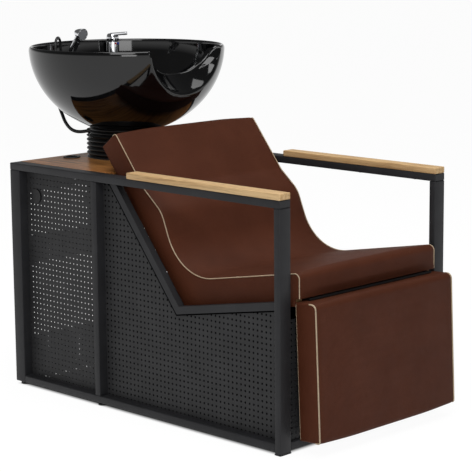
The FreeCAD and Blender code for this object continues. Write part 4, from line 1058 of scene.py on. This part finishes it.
def make_shower():
    seat = bowl_point(SHOWER_SEAT)
    foot = lathe("foot", rounded(HOLDER_FOOT, 1), seat)
    sleeve = lathe("sleeve", rounded(HOLDER_SLEEVE, 1.5), seat, SHOWER_AXIS)
    done(join("shower_socket", [foot, sleeve]), "bowl", "chrome", CHROME, "shower_holder")
    grip = lathe("shower_grip", rounded(GRIP, 3), seat, SHOWER_AXIS)
    done(grip, "hand_shower", "chrome", CHROME, "shower_handle")
    aim = Vector((0, -math.sin(LEAN + HEAD_TURN), math.cos(LEAN + HEAD_TURN)))
    neck_end = seat + SHOWER_AXIS * (GRIP_LENGTH * MM)
    back = neck_end + SHOWER_AXIS * (HEAD_AHEAD * MM) - aim * (HEAD_BACK * MM)
    neck = lathe("neck", rounded(NECK, 4), neck_end, SHOWER_AXIS)
    shell = lathe("shell", rounded(SHELL, 3, 5), back, aim)
    done(join("shower_rose", [neck, shell]), "hand_shower", "chrome", CHROME, "shower_head")


# Places the hoses pass, from the middle of the bowl's rim.
SHOWER_HOSE = ((-53, 211.2, -62.25), (-53, 227, -82.5), (-57, 237, -107), (-68, 238, -131),
               (-83, 222, -153), (-100, 194, -173), (-113, 163, -197), (-118, 142, -224),
               (-109, 125, -246), (-93, 105, -252), (-80, 86, -247))
ARCH_HOSE = ((-136, 157, -50), (-136, 157, 0.3), (-120.8, 167.8, 19),
             (-99.2, 183.2, 19), (-84, 194, 0.3), (-84, 194, -50))
SHOWER_HOSE_RADIUS = 5.0
ARCH_HOSE_RADIUS = 4.0
HOSE_SIDES = 4


def centreline(curve):
    """Points of a curve's own line, read from it with no thickness."""
    thick = curve.data.bevel_depth
    curve.data.bevel_depth = 0.0
    line = bpy.data.meshes.new_from_object(curve)
    points = [vertex.co.copy() for vertex in line.vertices]
    bpy.data.meshes.remove(line)
    curve.data.bevel_depth = thick
    return points


def make_hoses():
    points = [bowl_point(p) for p in ARCH_HOSE]
    arch = tube("arch_hose_line", points, ARCH_HOSE_RADIUS, HOSE_SIDES)
    done(arch, "bowl", "black_rubber", RUBBER, "arch_hose")
    points = [bowl_point(p) for p in SHOWER_HOSE]
    hose = tube("shower_hose_line", points, SHOWER_HOSE_RADIUS, HOSE_SIDES)
    line = centreline(hose)
    hold(hose)
    bpy.ops.object.convert(target="MESH")
    hose = smooth(bpy.context.object, degrees=60.0)
    done(hose, None, "black_rubber", RUBBER, "shower_hose")
    seat = bowl_point(SHOWER_SEAT)
    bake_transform(hose)


BOARD_ROUND = 2.5


def make_armrests():
    for node in ("armrest_left", "armrest_right"):
        done(block("oak_" + node, *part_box(node), BOARD_ROUND, 4), "frame", "oak", OAK, node)


# The photo's camera, solved from the frame's straight edges.
LENS = 135.3
SENSOR = 36.0
CAMERA_SHIFT = (-0.00432, -0.00278)
CAMERA_PLACE = (-3415.53, -2911.07, 1321.74)
AZIMUTH, ELEVATION, ROLL = (math.radians(degrees) for degrees in (-45.37, 10.14, -0.48))


def make_camera():
    back = Vector((math.sin(AZIMUTH) * math.cos(ELEVATION), -math.cos(AZIMUTH) * math.cos(ELEVATION),
                   math.sin(ELEVATION)))
    right = Vector((math.cos(AZIMUTH), math.sin(AZIMUTH), 0))
    up = back.cross(right)
    side = right * math.cos(ROLL) + up * math.sin(ROLL)
    top = up * math.cos(ROLL) - right * math.sin(ROLL)
    data = bpy.data.cameras.new("camera")
    data.lens = LENS
    data.sensor_width = SENSOR
    data.shift_x, data.shift_y = CAMERA_SHIFT
    data.clip_end = 50.0
    camera = bpy.data.objects.new("camera", data)
    camera.matrix_world = (Matrix.Translation(place(*CAMERA_PLACE))
                           @ Matrix((side, top, back)).transposed().to_4x4())
    bpy.context.scene.collection.objects.link(camera)
    bpy.context.scene.camera = camera


# Place, aim and size in metres, and watts.
LIGHTS = {
    "front_softbox": ((-3.67, -4.09, 1.70), (0, 0.36, 0.96), (1.7, 1.7), 42),
    "key": ((-2.6, -2.0, 4.0), (0, 0, 0.5), (2.0, 2.0), 62),
    "overhead": ((0.3, -0.2, 4.3), (0, 0, 0.5), (3.0, 3.0), 92),
}


def area_light(name, at, aim, size, power):
    data = bpy.data.lights.new(name, "AREA")
    data.shape = "RECTANGLE"
    data.size, data.size_y = size
    data.energy = power
    light = bpy.data.objects.new(name, data)
    light.visible_camera = False
    light.location = at
    light.rotation_euler = (Vector(aim) - Vector(at)).to_track_quat("-Z", "Y").to_euler()
    bpy.context.scene.collection.objects.link(light)


SURROUND_LIGHT = 0.2
CEILING_SHINE = 0.12
CEILING_FROM, CEILING_FULL = 0.02, 0.22
FLOOR_SIZE = 40
FLOOR_GLOW = 1.06
FLOOR_SHINE = 0.90
# Painted shadow colour of the floor under the object, and the floor's own colour beside it.
FLOOR_PAINTED_SHADOW, FLOOR_BESIDE = (0.2, 0.2, 0.2), (0.8, 0.8, 0.8)
SHADOW_FADE = 0.02


def greater(finish, first, second):
    return finish.node("ShaderNodeMath", {"operation": "MAXIMUM"}, {0: first, 1: second})


def seen_directly(finish):
    """One for the eye, for reflections and through glass, nought for the light that falls on things."""
    seen = finish.node("ShaderNodeLightPath", {}, {}, "Is Camera Ray")
    for ray in ("Is Glossy Ray", "Is Transmission Ray"):
        other = finish.node("ShaderNodeLightPath", {}, {}, ray)
        seen = greater(finish, seen, other)
    return seen


def floor_finish():
    """White all round the object, with a share left for its shadow; beneath it there is no glow and the
    colour is a painted shadow.
    """
    made = Finish("floor_white", Roughness=0.9, Specular_IOR_Level=0.0)
    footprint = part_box("front_leg_left")[0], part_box("rear_leg_right")[1]
    beside = 0.0
    for k, axis in enumerate("XY"):
        low, high = footprint[0][k], footprint[1][k]
        at = made.node("ShaderNodeSeparateXYZ", {}, {"Vector": made.place}, axis) - (low + high) / 2
        off = made.node("ShaderNodeMath", {"operation": "ABSOLUTE"}, {0: at})
        clear_of = made.between(off, (high - low) / 2 - SHADOW_FADE, (high - low) / 2)
        beside = greater(made, beside, clear_of)
    # Painted shadow: the floor's colour turns dark grey under the object's footprint.
    made.set("Base Color", made.mix(beside, FLOOR_PAINTED_SHADOW, FLOOR_BESIDE))
    glow = made.node("ShaderNodeEmission", {}, {"Strength": FLOOR_GLOW})
    plain = Signal(made, made.shader.outputs[0])
    share = seen_directly(made) * beside * FLOOR_SHINE
    blend = made.node("ShaderNodeMixShader", {}, {0: share, 1: plain, 2: glow})
    made.wire(made.tree.nodes["Material Output"].inputs["Surface"], blend)
    return made.material


class Surround(Finish):
    """The studio round the object: white to the eye, with a dim ceiling in reflections."""

    def __init__(self, world):
        world.use_nodes = True
        self.tree = world.node_tree
        self.shader = self.tree.nodes["Background"]
        up = self.node("ShaderNodeTexCoord", {}, {}, "Generated")
        height = self.node("ShaderNodeSeparateXYZ", {}, {"Vector": up}, "Z")
        ceiling = self.between(height, CEILING_FROM, CEILING_FULL)
        camera = self.node("ShaderNodeLightPath", {}, {}, "Is Camera Ray")
        shiny = 1.0 - ceiling * (1.0 - CEILING_SHINE) * (1.0 - camera)
        seen = seen_directly(self)
        self.set("Strength", seen * shiny + (1.0 - seen) * SURROUND_LIGHT)
        self.set("Color", (1.0, 1.0, 1.0))


def make_stage():
    clear()
    bpy.ops.mesh.primitive_plane_add(size=FLOOR_SIZE)
    floor = bpy.context.object
    floor.name = "floor"
    floor.data.materials.append(floor_finish())
    scene = bpy.context.scene
    scene.view_settings.view_transform = "Standard"
    scene.world = scene.world or bpy.data.worlds.new("surround")
    Surround(scene.world)
    for name, light in LIGHTS.items():
        area_light(name, *light)


finish_nodes()
make_tubes()
make_sheets()
make_armrests()
make_pads()
make_bowl()
make_mount()
make_mixer()
make_shower()
make_hoses()
make_camera()
make_stage()
